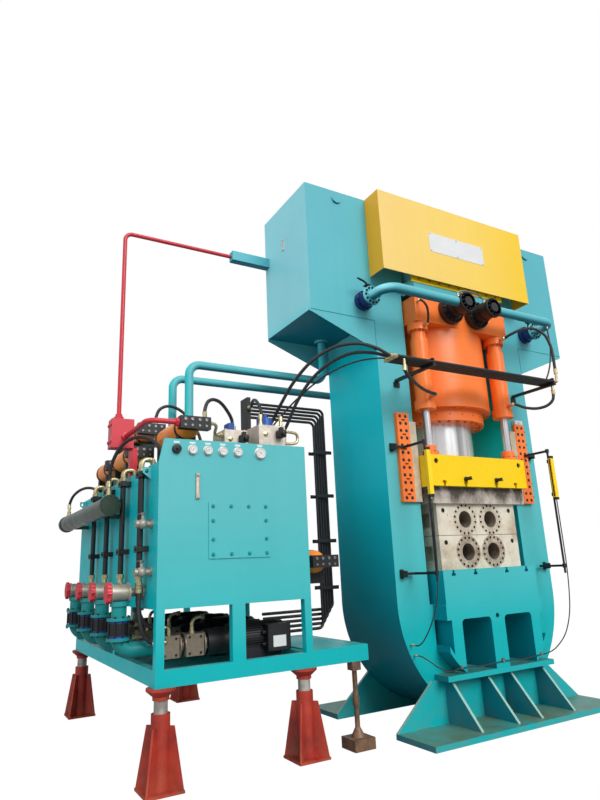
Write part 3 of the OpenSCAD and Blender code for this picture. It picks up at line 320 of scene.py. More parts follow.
# painted light: a brighter copy of the orange for the accumulators
orange_painted_bright = paint("orange_painted_bright", srgb(255, 146, 40), vary=0.05, rough=0.30, dust=0.0)
red = paint("red", srgb(205, 48, 62), rough=0.32, dust=0.1)
blue = paint("blue", srgb(38, 78, 158), rough=0.35, dust=0.1)
navy = paint("navy", srgb(27, 48, 112), rough=0.35, dust=0.1)
black = paint("black", srgb(34, 33, 36), rough=0.42, vary=0.3, dust=0.3, dust_col=srgb(88, 82, 76))
green = paint("green", srgb(44, 62, 48), rough=0.25, vary=0.15, dust=0.1)
cast = plain("cast", srgb(128, 116, 100), rough=0.5, metal=0.35)
alloy = plain("alloy", srgb(168, 163, 152), rough=0.45, metal=0.5)
zinc = plain("zinc", srgb(206, 190, 148), rough=0.3, metal=0.75)
steel = plain("steel", srgb(150, 150, 150), rough=0.35, metal=0.85)
bronze = plain("bronze", srgb(198, 184, 160), rough=0.5, metal=0.3, grain=12)
linen = plain("linen", srgb(212, 199, 186), rough=0.42, metal=0.35, grain=18)
rubber = plain("rubber", srgb(40, 40, 43), rough=0.5, grain=25, vary=0.25)
plastic_yellow = plain("plastic_yellow", srgb(247, 208, 22), rough=0.3, grain=8, vary=0.05)
white = plain("white", srgb(216, 217, 217), rough=0.4, grain=6, vary=0.04)
gauge_grey = plain("gauge_grey", srgb(206, 204, 197), rough=0.4, metal=0.2)
dark = plain("dark", srgb(22, 22, 24), rough=0.55, vary=0.3)
smoke = plain("smoke", srgb(48, 12, 12), rough=0.15, grain=5, vary=0.1)
brown = plain("brown", srgb(44, 36, 34), rough=0.42, grain=14, vary=0.3)
teal_dark = paint("teal_dark", srgb(30, 140, 144), dust=0.1)
orange_dark = paint("orange_dark", srgb(214, 96, 36), dust=0.1)


def suction_mat():
    """Teal suction line with a black rubber joint between blue rings."""
    m = paint("suction", srgb(14, 136, 136))
    z = m.axis(2)
    tone = m.mix(m.band(z, 1.0872, 1.2198, 0.0002), m.tone(), srgb(30, 84, 170))
    m.color(m.mix(m.band(z, 1.106, 1.201, 0.0002), tone, srgb(24, 24, 26)))
    return m


def filter_mat():
    """Dull alloy filter with a red cap."""
    m = plain("filter", srgb(160, 154, 142), rough=0.45, metal=0.4)
    cap = m.span(m.axis(0), -3.8625, -3.8615, 1, 0)
    m.color(m.mix(cap, m.tone(), srgb(205, 48, 62)))
    m.metal(m.times(m.math("SUBTRACT", 1.0, cap), 0.5))
    return m


def valve_mat():
    """Beige valve blocks, blue on top."""
    m = plain("valve_block", srgb(212, 199, 186), rough=0.42, metal=0.35, grain=18)
    m.color(m.mix(m.span(m.axis(2), 2.9505, 2.9515), m.tone(), srgb(60, 96, 168)))
    return m


def chrome_mat():
    """Hard chrome with painted reflections: lengthwise streaks of light and dark."""
    m = Mat("chrome", rough=0.2, metal=0.7)
    # painted reflection: lengthwise light and dark bands, as a polished rod reflects its surroundings; the
    # roughness follows them
    marks = m.noise(9.0, 3, 0.6, stretch=(1, 1, 0.02))
    m.color(m.ramp(marks, (0.34, srgb(150, 148, 150)), (0.46, srgb(234, 234, 236)),
                   (0.7, srgb(254, 254, 255))))
    m.rough(m.span(marks, 0.3, 0.7, 0.14, 0.26))
    return m


def die_mat(name, port_z, stain):
    """Ground steel gone cream with rust and oil, a bare ring round each port in the front, and painted
    shade inside each port.
    """
    m = Mat(name, rough=0.5, metal=0.15)
    tone = m.ramp(m.noise(3.2, 7, 0.65), (0.28, srgb(176, 158, 132)), (0.5, srgb(216, 206, 186)),
                  (0.75, srgb(230, 223, 208)))
    scratch = m.noise(5, 6, 0.7, stretch=(1, 1, 9))
    tone = m.mix(m.span(scratch, 0.58, 0.72, 0, 0.45), tone, srgb(148, 122, 96))
    spots = m.noise(26, 4, 0.6)
    tone = m.mix(m.span(spots, 0.64, 0.74, 0, 0.6), tone, srgb(105, 84, 66))
    middle = PRESS.y / 1000
    front = m.span(m.axis(1), middle - 0.24, middle - 0.22, 1, 0)
    for x in (-PORT_X, PORT_X):
        r = m.radius(0, 2, x / 1000, port_z / 1000)
        ragged = m.math("ADD", r, m.times(m.math("SUBTRACT", m.noise(30, 4, 0.6), 0.5), 0.03))
        strength = m.span(m.noise(11, 5, 0.65), 0.35, 0.65, stain * 0.4, stain)
        patch = m.times(m.band(ragged, 0.06, 0.172, 0.006), strength)
        tone = m.mix(m.times(patch, front), tone, srgb(122, 95, 76))
        # painted shade: the inside of each port in the front is dark
        bore_shade = m.times(m.span(r, 0.088, 0.092, 0.95, 0), front)
        tone = m.mix(bore_shade, tone, srgb(44, 37, 32))
    oil = m.times(m.span(m.noise(2.3, 5, 0.6, stretch=(2, 1, 0.8)), 0.55, 0.7), 0.35)
    tone = m.mix(oil, tone, srgb(120, 104, 86))
    drips = m.span(m.noise(3.4, 6, 0.7, stretch=(1.6, 1, 0.5)), 0.58, 0.72, 0, 0.5)
    m.color(m.mix(drips, tone, srgb(66, 54, 44)))
    m.rough(m.span(m.noise(8, 5, 0.6), 0.3, 0.7, 0.38, 0.62))
    m.bump(m.noise(90, 4, 0.6), 0.25, 0.001)
    return m


def tool_mat():
    """Steel plate with soot that is thickest towards its top."""
    m = Mat("tool_plate", rough=0.55, metal=0.1)
    tone = m.ramp(m.noise(4, 7, 0.65), (0.3, srgb(132, 120, 108)), (0.5, srgb(180, 168, 156)),
                  (0.75, srgb(208, 200, 190)))
    soot = m.noise(2.6, 7, 0.68, stretch=(1.4, 1, 0.7))
    high = m.span(m.axis(2), 2.17, 2.34, 0.05, 0.24)
    m.color(m.mix(m.span(m.math("ADD", soot, high), 0.52, 0.70, 0, 0.92), tone, srgb(52, 44, 38)))
    m.rough(m.span(soot, 0.4, 0.7, 0.6, 0.38))
    m.bump(m.noise(70, 4, 0.6), 0.3, 0.0015)
    return m


def jack_mat():
    """Dusty red stands with bare screw tubes, and a rusty prop."""
    m = Mat("jack", rough=0.5)
    tone = m.ramp(m.noise(4, 6, 0.6), (0.3, srgb(128, 34, 22)), (0.52, srgb(164, 48, 32)),
                  (0.75, srgb(182, 62, 44)))
    dusty = m.times(m.span(m.axis(2), 0.0, 0.25, 1, 0), m.span(m.noise(6, 6, 0.7), 0.4, 0.7))
    tone = m.mix(m.times(dusty, 0.4), tone, srgb(150, 120, 90))
    tube = m.band(m.axis(2), 0.541, 0.634, 0.001)
    metal = m.ramp(m.noise(9, 4, 0.6), (0.35, srgb(150, 146, 138)), (0.7, srgb(206, 204, 198)))
    prop = m.span(m.axis(0), -2.02, -2.01)
    rust = m.ramp(m.noise(14, 7, 0.7), (0.3, srgb(58, 48, 42)), (0.5, srgb(104, 78, 58)),
                  (0.75, srgb(140, 98, 66)))
    m.color(m.mix(prop, m.mix(tube, tone, metal), rust))
    m.metal(m.times(tube, 0.6))
    m.bump(m.noise(60, 3, 0.6), 0.25, 0.001)
    return m


NODE_MATERIAL = {
    teal: "frame_columns frame_arches lower_yoke upper_yoke bolster wing_tank_ends wing_tank_sides"
          " wing_tank_floors wing_tank_roofs wing_tank_brackets prefill_pipes unit_base bay_posts tank_ends"
          " tank_sides tank_floor tank_roof gauge_panel access_cover link_pipes",
    suction_mat(): "suction_lines",
    teal_foot: "foot_plates foot_webs foot_bars foot_gussets",
    yellow_pale: "yellow_cover",
    yellow: "slide",
    orange: "cylinder_block main_cylinder gland_ring return_cylinders guide_strips rod_lugs",
    orange_painted_bright: "accumulators",
    red: "red_pipework",
    jack_mat(): "jack_stands",
    chrome_mat(): "ram return_rods",
    die_mat("die_low", LOW_PORT_Z, 0.85): "lower_die",
    die_mat("die_high", HIGH_PORT_Z, 0.35): "upper_die",
    tool_mat(): "upper_tool_plate",
    valve_mat(): "valve_blocks",
    navy: "butterfly_valves",
    brown: "prefill_valves",
    black: "manifold_pipes column_brackets motors bell_housings riser_pipes accumulator_blocks pipe_rack",
    cast: "pumps",
    filter_mat(): "suction_filters",
    green: "cooler",
    bronze: "gibs",
    zinc: "hose_fittings",
    plastic_yellow: "light_curtains",
    rubber: "press_hoses supply_hoses unit_hoses",
}
for mat, names in NODE_MATERIAL.items():
    for node in names.split():
        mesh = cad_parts[node].data
        mesh.materials.clear()
        mesh.materials.append(mat.material)


# Mesh pieces.
def ring(p, u, v, radius, n, turn=0.0):
    """n points on a circle round p in the plane of u and v."""
    angles = [turn + 2 * math.pi * k / n for k in range(n)]
    return [p + (u * math.cos(a) + v * math.sin(a)) * radius for a in angles]


class Build:
    """Collects many small solids in one piece."""

    origin = PRESS
    started = []

    def __init__(self, name, mat, slot, body="press"):
        self.name = name
        self.mat = mat
        self.slot = slot
        self.body = body
        self.bm = bmesh.new()
        Build.started.append(self)

    def axes(self, axis):
        """Two directions across an axis, and the axis itself."""
        w = Vector(axis).normalized()
        u = w.orthogonal().normalized()
        if abs(w.z) < 0.9:
            u = Z.cross(w).normalized()
        return u, w.cross(u), w

    def circle(self, p, axis, radius, n, turn=0.0):
        """n points on a circle round p."""
        u, v, _ = self.axes(axis)
        return ring(spot(p), u, v, radius, n, turn)

    def skin(self, rings):
        """A closed skin over rings of points."""
        rings = [[self.bm.verts.new(q) for q in points] for points in rings]
        sides = len(rings[0])
        for a, b in zip(rings, rings[1:]):
            for k in range(sides):
                n = (k + 1) % sides
                self.bm.faces.new((a[k], a[n], b[n], b[k]))
        self.bm.faces.new(rings[0][::-1])
        self.bm.faces.new(rings[-1])

    def box(self, a, b, bevel=3):
        a, b = spot(a), spot(b)
        lo = Vector([min(p, q) for p, q in zip(a, b)])
        hi = Vector([max(p, q) for p, q in zip(a, b)])
        made = bmesh.ops.create_cube(self.bm, size=1)["verts"]
        for v in made:
            v.co = Vector([lo[i] + (v.co[i] + 0.5) * (hi[i] - lo[i]) for i in range(3)])
        edges = list({e for v in made for e in v.link_edges})
        bmesh.ops.bevel(self.bm, geom=edges, offset=bevel, segments=1, affect="EDGES", profile=0.5)

    def lathe(self, p, axis, profile, sides=24, turn=0.0):
        """Turns a profile of (distance along axis, radius) round the axis at p; closed at both ends."""
        u, v, w = self.axes(axis)
        p = spot(p)
        self.skin([ring(p + w * h, u, v, r, sides, turn) for h, r in profile])

    def collar(self, p, axis, low, high, length, sides=40, edge=0.0):
        """A band that rises from radius low to radius high over edge, and falls again."""
        self.lathe(p, axis, [(0, low), (edge, high), (length - edge, high), (length, low)], sides)

    def cyl(self, p, axis, r, h, sides=24, bevel=2):
        b = min(bevel, r * 0.3, h * 0.3)
        self.collar(p, axis, r - b, r, h, sides, b)

    def bolt(self, p, axis, r, h, washer=True):
        """Hex head on a washer, standing on p."""
        t = r * 0.25 if washer else 0.0
        turn = random.random()
        if washer:
            self.lathe(p, axis, [(-1, r * 1.35), (t, r * 1.35)], 16)
        self.lathe(p, axis, [(t - 0.5, r), (t + h * 0.85, r), (t + h, r * 0.8)], 6, turn)

    def bolt_circle(self, p, axis, radius, n, r, h, turn=0.0, washer=True):
        for q in self.circle(p, axis, radius, n, turn):
            self.bolt(q, axis, r, h, washer)

    def socket(self, p, axis, r, h):
        """Cap screw with a hollow in its head."""
        self.lathe(p, axis, [(-1, r), (h * 0.9, r), (h, r * 0.92), (h, r * 0.55), (h * 0.5, r * 0.5)], 12)

    def socket_circle(self, p, axis, radius, n, r, h):
        for q in self.circle(p, axis, radius, n):
            self.socket(q, axis, r, h)

    def tube(self, pts, r, sides=10):
        """A round bar along a line of points."""
        pts = [spot(q) for q in pts]
        last = len(pts) - 1
        u = None
        rings = []
        for i, q in enumerate(pts):
            d = (pts[min(i + 1, last)] - pts[max(i - 1, 0)]).normalized()
            u = d.orthogonal().normalized() if u is None else (u - d * u.dot(d)).normalized()
            rings.append(ring(q, u, d.cross(u), r, sides))
        self.skin(rings)

    def slab(self, outline, normal, t):
        """A flat plate from outline points, t thick along normal."""
        n = Vector(normal).normalized() * t
        outline = [spot(q) for q in outline]
        self.skin([outline, [q + n for q in outline]])

    def done(self):
        """Makes the piece."""
        Build.started.remove(self)
        bmesh.ops.recalc_face_normals(self.bm, faces=self.bm.faces)
        me = bpy.data.meshes.new(self.name)
        self.bm.to_mesh(me)
        self.bm.free()
        me.transform(Matrix.Scale(0.001, 4))
        me.materials.append(self.mat.material)
        for f in me.polygons:
            f.use_smooth = True
        ob = place(self.name, me)
        ob.modifiers.new("split", "EDGE_SPLIT").split_angle = math.radians(35)
        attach(ob, self.body)
        return ob


def curve(pts, step=6):
    """A smooth line through the points."""
    pts = [spot(p) for p in pts]
    out = []
    for i in range(len(pts) - 1):
        a, b = pts[max(i - 1, 0)], pts[i]
        c, d = pts[i + 1], pts[min(i + 2, len(pts) - 1)]
        for k in range(step):
            t = k / step
            out.append(0.5 * ((2 * b) + (c - a) * t + (2 * a - 5 * b + 4 * c - d) * t * t
                              + (3 * b - a - 3 * c + d) * t ** 3))
    out.append(pts[-1])
    return out


# Hoses, along the routes of the CAD solids, measured from the middle of the press.
ROUTES = {
    "press_hoses": [
        ("hose_left_top", 26, [
            (-680, -700, 4440), (-680, -745, 4440), (-668, -790, 4400), (-650, -815, 4330),
            (-630, -800, 4240), (-615, -770, 4185), (-610, -745, 4166), (-610, -715, 4166)]),
        ("hose_left_low", 34, [
            (-1300, -1100, 3470), (-1300, -1100, 3420), (-1250, -1080, 3370), (-1140, -1020, 3350),
            (-1000, -930, 3345), (-850, -850, 3335), (-720, -800, 3330), (-640, -780, 3330),
            (-610, -755, 3330), (-610, -715, 3330)]),
        ("hose_right_top", 34, [
            (610, -715, 4166), (610, -765, 4166), (650, -845, 4200), (740, -930, 4240),
            (850, -1010, 4240), (950, -1070, 4160), (1000, -1095, 4020), (1010, -1100, 3880),
            (1010, -1100, 3740), (1010, -1100, 3660)]),
        ("hose_right_low", 34, [
            (962, -1060, 3470), (962, -1060, 3420), (945, -1050, 3340), (890, -1000, 3280),
            (810, -920, 3260), (720, -840, 3280), (645, -785, 3320), (610, -755, 3330), (610, -715, 3330)]),
        ("hose_right_thin", 18, [
            (1190, -950, 4346), (1190, -952, 4250), (1170, -970, 4100), (1120, -990, 3950),
            (1050, -1010, 3800), (980, -1020, 3680), (940, -1020, 3620), (940, -1020, 3574)]),
        ("cable_right", 12, [
            (940, -903, 2200), (940, -903, 2050), (945, -900, 1800), (950, -895, 1500), (945, -880, 1200),
            (925, -855, 960), (870, -810, 760), (780, -750, 630), (690, -706, 575), (580, -698, 566),
            (300, -698, 552), (0, -698, 561), (-300, -698, 550), (-580, -698, 560), (-740, -702, 545),
            (-860, -690, 590), (-950, -650, 660), (-1000, -600, 700), (-1000, -540, 700)]),
        ("cable_left", 12, [
            (-940, -903, 2200), (-940, -903, 2050), (-945, -900, 1800), (-950, -895, 1500),
            (-965, -865, 1220), (-1000, -790, 1000), (-1025, -690, 850), (-1030, -610, 800),
            (-1030, -540, 800)]),
    ],
    "supply_hoses": [
        ("hose_supply_a", 34, [
            (-1420, -1100, 3555), (-1490, -1100, 3555), (-1620, -1070, 3620), (-1780, -980, 3670),
            (-1960, -830, 3650), (-2110, -650, 3540), (-2210, -460, 3370), (-2260, -290, 3200),
            (-2278, -160, 3080), (-2280, -60, 3010), (-2280, -60, 2950)]),
        ("hose_supply_b", 34, [
            (-1420, -1060, 3555), (-1490, -1060, 3555), (-1620, -1000, 3590), (-1780, -880, 3600),
            (-1930, -700, 3530), (-2040, -500, 3390), (-2110, -330, 3200), (-2150, -200, 3010),
            (-2165, -150, 2940), (-2165, -150, 2880)]),
        ("hose_supply_c", 18, [
            (-1420, -980, 3555), (-1500, -980, 3555), (-1700, -880, 3530), (-1880, -690, 3460),
            (-2010, -480, 3350), (-2110, -270, 3220), (-2190, -110, 3090), (-2240, -35, 3010),
            (-2262, -20, 2990), (-2262, -20, 2950)]),
    ],
    "unit_hoses": [
        ("hose_unit_a", 34, [
            (-3775, 460, 2400), (-3775, 460, 2480), (-3770, 420, 2600), (-3740, 340, 2720),
            (-3690, 240, 2800), (-3620, 110, 2830), (-3540, -20, 2800), (-3480, -120, 2720),
            (-3445, -190, 2630), (-3440, -200, 2560), (-3440, -200, 2500)]),
        ("hose_unit_b", 34, [
            (-3775, 2600, 2400), (-3775, 2600, 2460), (-3750, 2540, 2550), (-3700, 2430, 2610),
            (-3640, 2300, 2630), (-3580, 2180, 2610), (-3545, 2110, 2570), (-3540, 2090, 2540),
            (-3540, 2090, 2500)]),
        ("hose_unit_c", 34, [
            (-3120, -373, 2948), (-3120, -373, 3020), (-3080, -340, 3110), (-3000, -280, 3160),
            (-2900, -210, 3160), (-2810, -150, 3110), (-2730, -100, 3020), (-2730, -100, 2900)]),
        ("hose_unit_d", 34, [
            (-2450, -220, 2950), (-2450, -220, 3030), (-2450, -170, 3160), (-2430, -50, 3260),
            (-2390, 100, 3310), (-2350, 220, 3310), (-2320, 300, 3300), (-2320, 360, 3300)]),
        ("hose_unit_e", 34, [
            (-3250, 727, 3120), (-3250, 727, 3200), (-3210, 722, 3290), (-3120, 715, 3330),
            (-3000, 708, 3300), (-2880, 703, 3200), (-2790, 700, 3060), (-2750, 700, 2940),
            (-2750, 700, 2850)]),
    ],
}

# Two hoses from each riser to its pump, measured from set_origin.
DROPS = {
    "low": [(-60, -112, 1490), (-60, -112, 1420), (-64, -116, 1320), (-56, -122, 1220), (-30, -122, 1125),
            (15, -122, 1060), (60, -122, 1030), (110, -122, 1030)],
    "high": [(-60, -58, 1490), (-60, -58, 1420), (-54, -58, 1330), (-25, -58, 1235), (30, -58, 1168),
             (100, -58, 1140), (150, -58, 1140)],
}
DROP_SIZE = 34

# A hose's ferrule: distances in hose diameters, and radii in hose radii.
FERRULE = [(0.5, 1.3), (0.55, 1.12), (0.65, 1.12), (0.7, 1.25), (1.7, 1.25), (1.75, 1.05)]


def make_hose(name, size, route, node):
    """A hose in place of its CAD solid, with a ferrule at each end."""
    path = curve(route)
    line = [p / 1000 for p in path]
    d = size / 1000
    data = bpy.data.curves.new(name, "CURVE")
    data.dimensions = "3D"
    data.bevel_depth = d / 2
    data.bevel_resolution = 4
    data.use_fill_caps = True
    spline = data.splines.new("POLY")
    spline.points.add(len(line) - 1)
    for q, p in zip(spline.points, line):
        q.co = (*p, 1)
    data.materials.append(rubber.material)
    ob = place(name, data)
    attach(ob, "press")
    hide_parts(node)
    b = Build(name + "_ends", zinc, "zinc_plate")
    r = size / 2
    ferrule = [(1, r * 1.02), (2, r * 1.3)] + [(size * h, r * wide) for h, wide in FERRULE]
    for p, q in ((path[0], path[1]), (path[-1], path[-2])):
        b.lathe(p, q - p, ferrule, 20)
    ends = b.done()


for node, hoses in ROUTES.items():
    for name, size, route in hoses:
        make_hose(name, size, route, node)
for k in range(SETS):
    Build.origin = set_origin(k)
    for name, route in DROPS.items():
        make_hose(f"hose_{name}_{k + 1}", DROP_SIZE, route, "unit_hoses")


# Fasteners and fittings of the press, measured from its middle.
Build.origin = PRESS


def return_cylinder_screws():
    """Bolts under the return cylinders' flanges, and screws and a seal ring at their lower ends."""
    under = Build("return_cylinder_bolts", orange_dark, "orange_paint")
    rim = Build("return_cylinder_screws", orange, "orange_paint")
    flange_z, screw_z, seal_z = 4122, 3270, 3192
    for sx, sy in CORNERS:
        x, y = sx * ROD_X, sy * ROD_Y
        under.bolt_circle((x, y, flange_z), -Z, 102, 14, 10.5, 20, washer=False)
        c = spot((x, y, screw_z))
        for q in rim.circle(c, Z, 118, 10):
            rim.socket(q, q - c, 8, 5)
        rim.collar((x, y, seal_z), Z, 58, 80, 4.5, 32)


def gland_screws():
    b = Build("gland_screws", orange_dark, "orange_paint")
    face, rim = (0, 0, 3120), spot((0, 0, 3190))
    b.socket_circle(face, -Z, 555, 32, 16, 14)
    for q in b.circle(rim, Z, 610, 24, 0.13):
        b.socket(q, q - rim, 10, 4)


def prefill_bolts():
    """Nuts and end caps of the prefill valves, and the balance line between them."""
    nuts = Build("prefill_nuts", dark, "black_paint")
    caps = Build("prefill_caps", dark, "black_paint")
    line = Build("prefill_balance_line", steel, "chrome")
    flange_y, ring_y, cap_y, screw_y, line_y, line_z = -770, -850, -986, -1020, -870, 4500
    cap = [(0, 105), (0, 120), (28, 120), (34, 113), (34, 60), (44, 55), (44, 20)]
    for s in (-1, 1):
        x = s * VALVE_X
        for q in nuts.circle((x, flange_y, VALVE_Z), -Y, 143, 16):
            nuts.bolt(q, -Y, 13.5, 18)
            nuts.cyl(q, -Y, 8, 34, 10)
        caps.lathe((x, cap_y, VALVE_Z), -Y, cap, 40)
        caps.socket_circle((x, screw_y, VALVE_Z), -Y, 92, 12, 10, 14)
        caps.collar((x, ring_y, VALVE_Z), -Y, 104, 112, 30)
        line.lathe((x, line_y, line_z), Z, [(0, 16), (30, 16), (32, 12)], 6)
    bow = [(-VALVE_X, line_z), (-VALVE_X, 4560), (-120, 4605), (0, 4615), (120, 4605), (VALVE_X, 4560),
           (VALVE_X, line_z)]
    line.tube(curve([(x, line_y, z) for x, z in bow]), 9, 10)


def butterfly_parts():
    """Bolts and levers of the butterfly valves, and bolts of the pipe flanges in front of them."""
    bolts = Build("butterfly_bolts", dark, "black_paint")
    levers = Build("butterfly_levers", dark, "black_paint")
    flange = Build("prefill_flange_bolts", dark, "black_paint")
    wall_y, flange_y, stem_y, stem_z = 547.5, -691.5, -605, 4480
    handle = [(5, -610, 4565), (40, -625, 4575), (95, -645, 4580), (165, -665, 4582)]
    for s in (-1, 1):
        x = s * BUTTERFLY_X
        for sy in (-1, 1):
            bolts.bolt_circle((x, sy * wall_y, VALVE_Z), Y * sy, 100.5, 10, 8.5, 12, washer=False)
        flange.bolt_circle((x, flange_y, VALVE_Z), -Y, 88, 12, 10.5, 14)
        levers.cyl((x, stem_y, stem_z), Z, 22, 75, 16)
        levers.box((x - 30, -640, 4545), (x + 30, -570, 4560))
        levers.tube(curve([(s * (BUTTERFLY_X + dx), y, z) for dx, y, z in handle]), 11, 10)


def cover_parts():
    """Bare name plate and lower lip of the yellow cover, with their screws."""
    plate = Build("cover_plate", white, "yellow_paint")
    screws = Build("cover_screws", steel, "chrome")
    lip = Build("cover_lip", yellow, "yellow_paint")
    plate_y, lip_y, lip_screw_z = -758.8, -698.5, 4735
    lip.box((-735, lip_y, 4688), (730, -689.5, 4802), 2)
    plate.box((-450, plate_y, 5106), (432, -755.2, 5356), 1)
    for x in (-430, -10, 410):
        for z in (5122, 5340):
            screws.lathe((x, plate_y, z), -Y, [(0, 9), (3, 8), (5, 4)], 12)
    for k in range(9):
        screws.bolt((-620 + 155 * k, lip_y, lip_screw_z), -Y, 10, 10)


def wing_parts():
    """Weld seams round the wing tanks' brackets, and a level glass on the left tank."""
    seams = Build("wing_tank_seams", teal_dark, "teal_paint")
    glass = Build("wing_level_glass", linen, "yellow_plastic")
    rim = Build("wing_level_frame", white, "grey_alloy")
    inner, outer, top, foot, face = 1157, 1982, 4202, 3860, 498.5
    for sx, sy in CORNERS:
        corner = (sx * inner, sy * face, top)
        for end in ((sx * outer, sy * face, top), (sx * inner, sy * face, foot)):
            seams.tube([corner, end], 3.5, 8)
    y, low, high, end, inset = 35, 5140, 5295, 28, 26
    for z in (low, high - end):
        rim.box((WING_WALL - 15, y - 20, z), (WING_WALL, y + 20, z + end))
        rim.bolt((WING_WALL - 15, y, z + end / 2), -X, 8, 6, washer=False)
    low += inset
    high -= inset
    for dy in (-16, 11):
        rim.box((WING_WALL - 11, y + dy, low), (WING_WALL, y + dy + 5, high), 1)
    glass.box((WING_WALL - 9, y - 11, low), (WING_WALL, y + 11, high), 1)


def manifold_parts():
    """Nuts on the manifold pipes' ends, and clamps over its brackets."""
    nuts = Build("manifold_nuts", zinc, "zinc_plate")
    clamps = Build("manifold_clamps", black, "black_paint")
    left, right, pitch, clamp_top = -1421, 941, 40, 3592
    right_nut = [(0, 19.5), (4, 22.5), (36, 22.5), (39.5, 19.5)]
    for k in range(5):
        y = MANIFOLD_Y + pitch * (k - 2)
        nuts.collar((left, y, MANIFOLD_Z), X, 19.5, 22.5, 38, 6, 4)
        nuts.lathe((right, y, MANIFOLD_Z), X, right_nut, 6)
    for x in (-925, 925):
        clamps.box((x - 18, -1118.5, 3574.5), (x + 18, -921, clamp_top))
        for y in (-1000, -1040):
            clamps.bolt((x, y, clamp_top), Z, 8, 8)


def curtain_parts():
    """Caps, clips and lenses of the light curtains, and the pads of their arms."""
    caps = Build("curtain_caps", dark, "black_paint")
    lens = Build("curtain_lenses", smoke, "yellow_plastic")
    pads = Build("bracket_pads", black, "black_paint")
    half, clip = 26.2, 28
    for s in (-1, 1):
        x = s * CURTAIN_X
        for z in (2198, 2672):
            caps.box((x - half, -923.5, z), (x + half, -882.5, z + 30))
        lens.box((x - s * 24.5, -912, 2235), (x - s * half, -894, 2665), 0.5)
        for z in (2260, 2640):
            caps.box((x - clip, -886, z - 20), (x + clip, -864, z + 20))
        for z in (1470, 2766):
            pads.box((s * 1045, -504.5, z - 45), (s * 1095, -497, z + 45))
            for dz in (-18, 18):
                pads.bolt((s * 1070, -566.5, z + dz), -Y, 10, 10)
            pads.collar((x, -872, z - 22), Z, 12, 21, 44, 20)


def guide_parts():
    """Screws and dark rims in the guide strips' holes, tie bolts, and a stop block on the right."""
    ties = Build("guide_tie_bolts", dark, "black_paint")
    oil = Build("guide_screws", dark, "black_paint")
    stop = Build("guide_stop_block", white, "die_steel")
    strip_z, hole_pitch, hole_floor, strip_face = 2190, 80, 521.5, 542.5
    tie_z, tie_pitch, stop_y = 2270, 160, -548
    rim = [(0, 12.5), (0, 18.5), (1.5, 18), (1.5, 12.5)]
    for sx, sy in CORNERS:
        for k in range(6):
            z = tie_z + tie_pitch * k
            if sx > 0:
                ties.bolt((998, sy * 520, z), X, 12, 26)
            else:
                ties.box((-935, sy * 550.5, z - 6), (-893, sy * 542.2, z + 6), 2)
        for k in range(12):
            z = strip_z + hole_pitch * (k + 0.5)
            for x in (878, 953):
                oil.socket((sx * x, sy * hole_floor, z), Y * sy, 10.5, 12)
                oil.lathe((sx * x, sy * strip_face, z), Y * sy, rim, 20)
    stop.box((846, stop_y, 3151), (985, -498.5, 3205), 4)
    stop.bolt((915, stop_y, 3178), -Y, 11, 10)


def slide_parts():
    """Dark plugs in the slide's lifting holes, two pins, and the screws of the rod lugs."""
    pins = Build("slide_pins", dark, "black_paint", "slide")
    lugs = Build("rod_lug_screws", dark, "black_paint", "slide")
    plug = [(0, 27.8), (12, 27.8), (12, 18), (4, 16)]
    pin = [(0, 16), (0, 26), (14, 26), (16, 18.5), (100, 18.5), (108, 15)]
    for x in (-633, 633):
        pins.lathe((x, -664, 2612), -Y, plug, 24)
    for x in (-233, 233):
        pins.lathe((x, -690, 2427), -Y, pin, 20)
    for sx, sy in CORNERS:
        lugs.socket_circle((sx * ROD_X, sy * ROD_Y, 2716.7), Z, 88, 8, 8.5, 12)


def die_hole_shade_liners(name, port_z, corner_z, body):
    """Painted shade: dark liners, with a rim on the face, in the bolt holes round a die's ports and in its
    corner holes.
    """
    b = Build(name, dark, "black_paint", body)
    corner_x, corner_r, bolt_r = 500, 21.6, 10.7
    lip, proud = 3, 0.8
    holes = [((x, DIE_FACE, corner_z), corner_r) for x in (-corner_x, corner_x)]
    for x in (-PORT_X, PORT_X):
        holes += [(q, bolt_r) for q in b.circle((x, DIE_FACE, port_z), -Y, 150, 16, math.pi / 16)]
    for q, r in holes:
        b.lathe(q, -Y, [(-30, r), (0, r), (0, r + lip), (proud, r + lip), (proud, r), (-10, r - 0.5)], 16)


def cable_clips():
    b = Build("cable_clips", steel, "zinc_plate")
    half, wall_y, tab_y = 11, -689.8, -693.5
    for x, z in ((580, 566), (0, 561), (-580, 560)):
        b.box((x - half, -706.2, z - 10), (x + half, wall_y, z + 10), 3)
        b.box((x - half, tab_y, z + 10), (x + half, wall_y, z + 34), 1)
        b.bolt((x, tab_y, z + 24), -Y, 6, 5, washer=False)


for make in (return_cylinder_screws, gland_screws, prefill_bolts, butterfly_parts, cover_parts, wing_parts,
             manifold_parts, curtain_parts, guide_parts, slide_parts):
    make()
die_hole_shade_liners("lower_port_hole_shade", LOW_PORT_Z, 1765, "press")
die_hole_shade_liners("upper_port_hole_shade", HIGH_PORT_Z, 2100, "slide")
cable_clips()


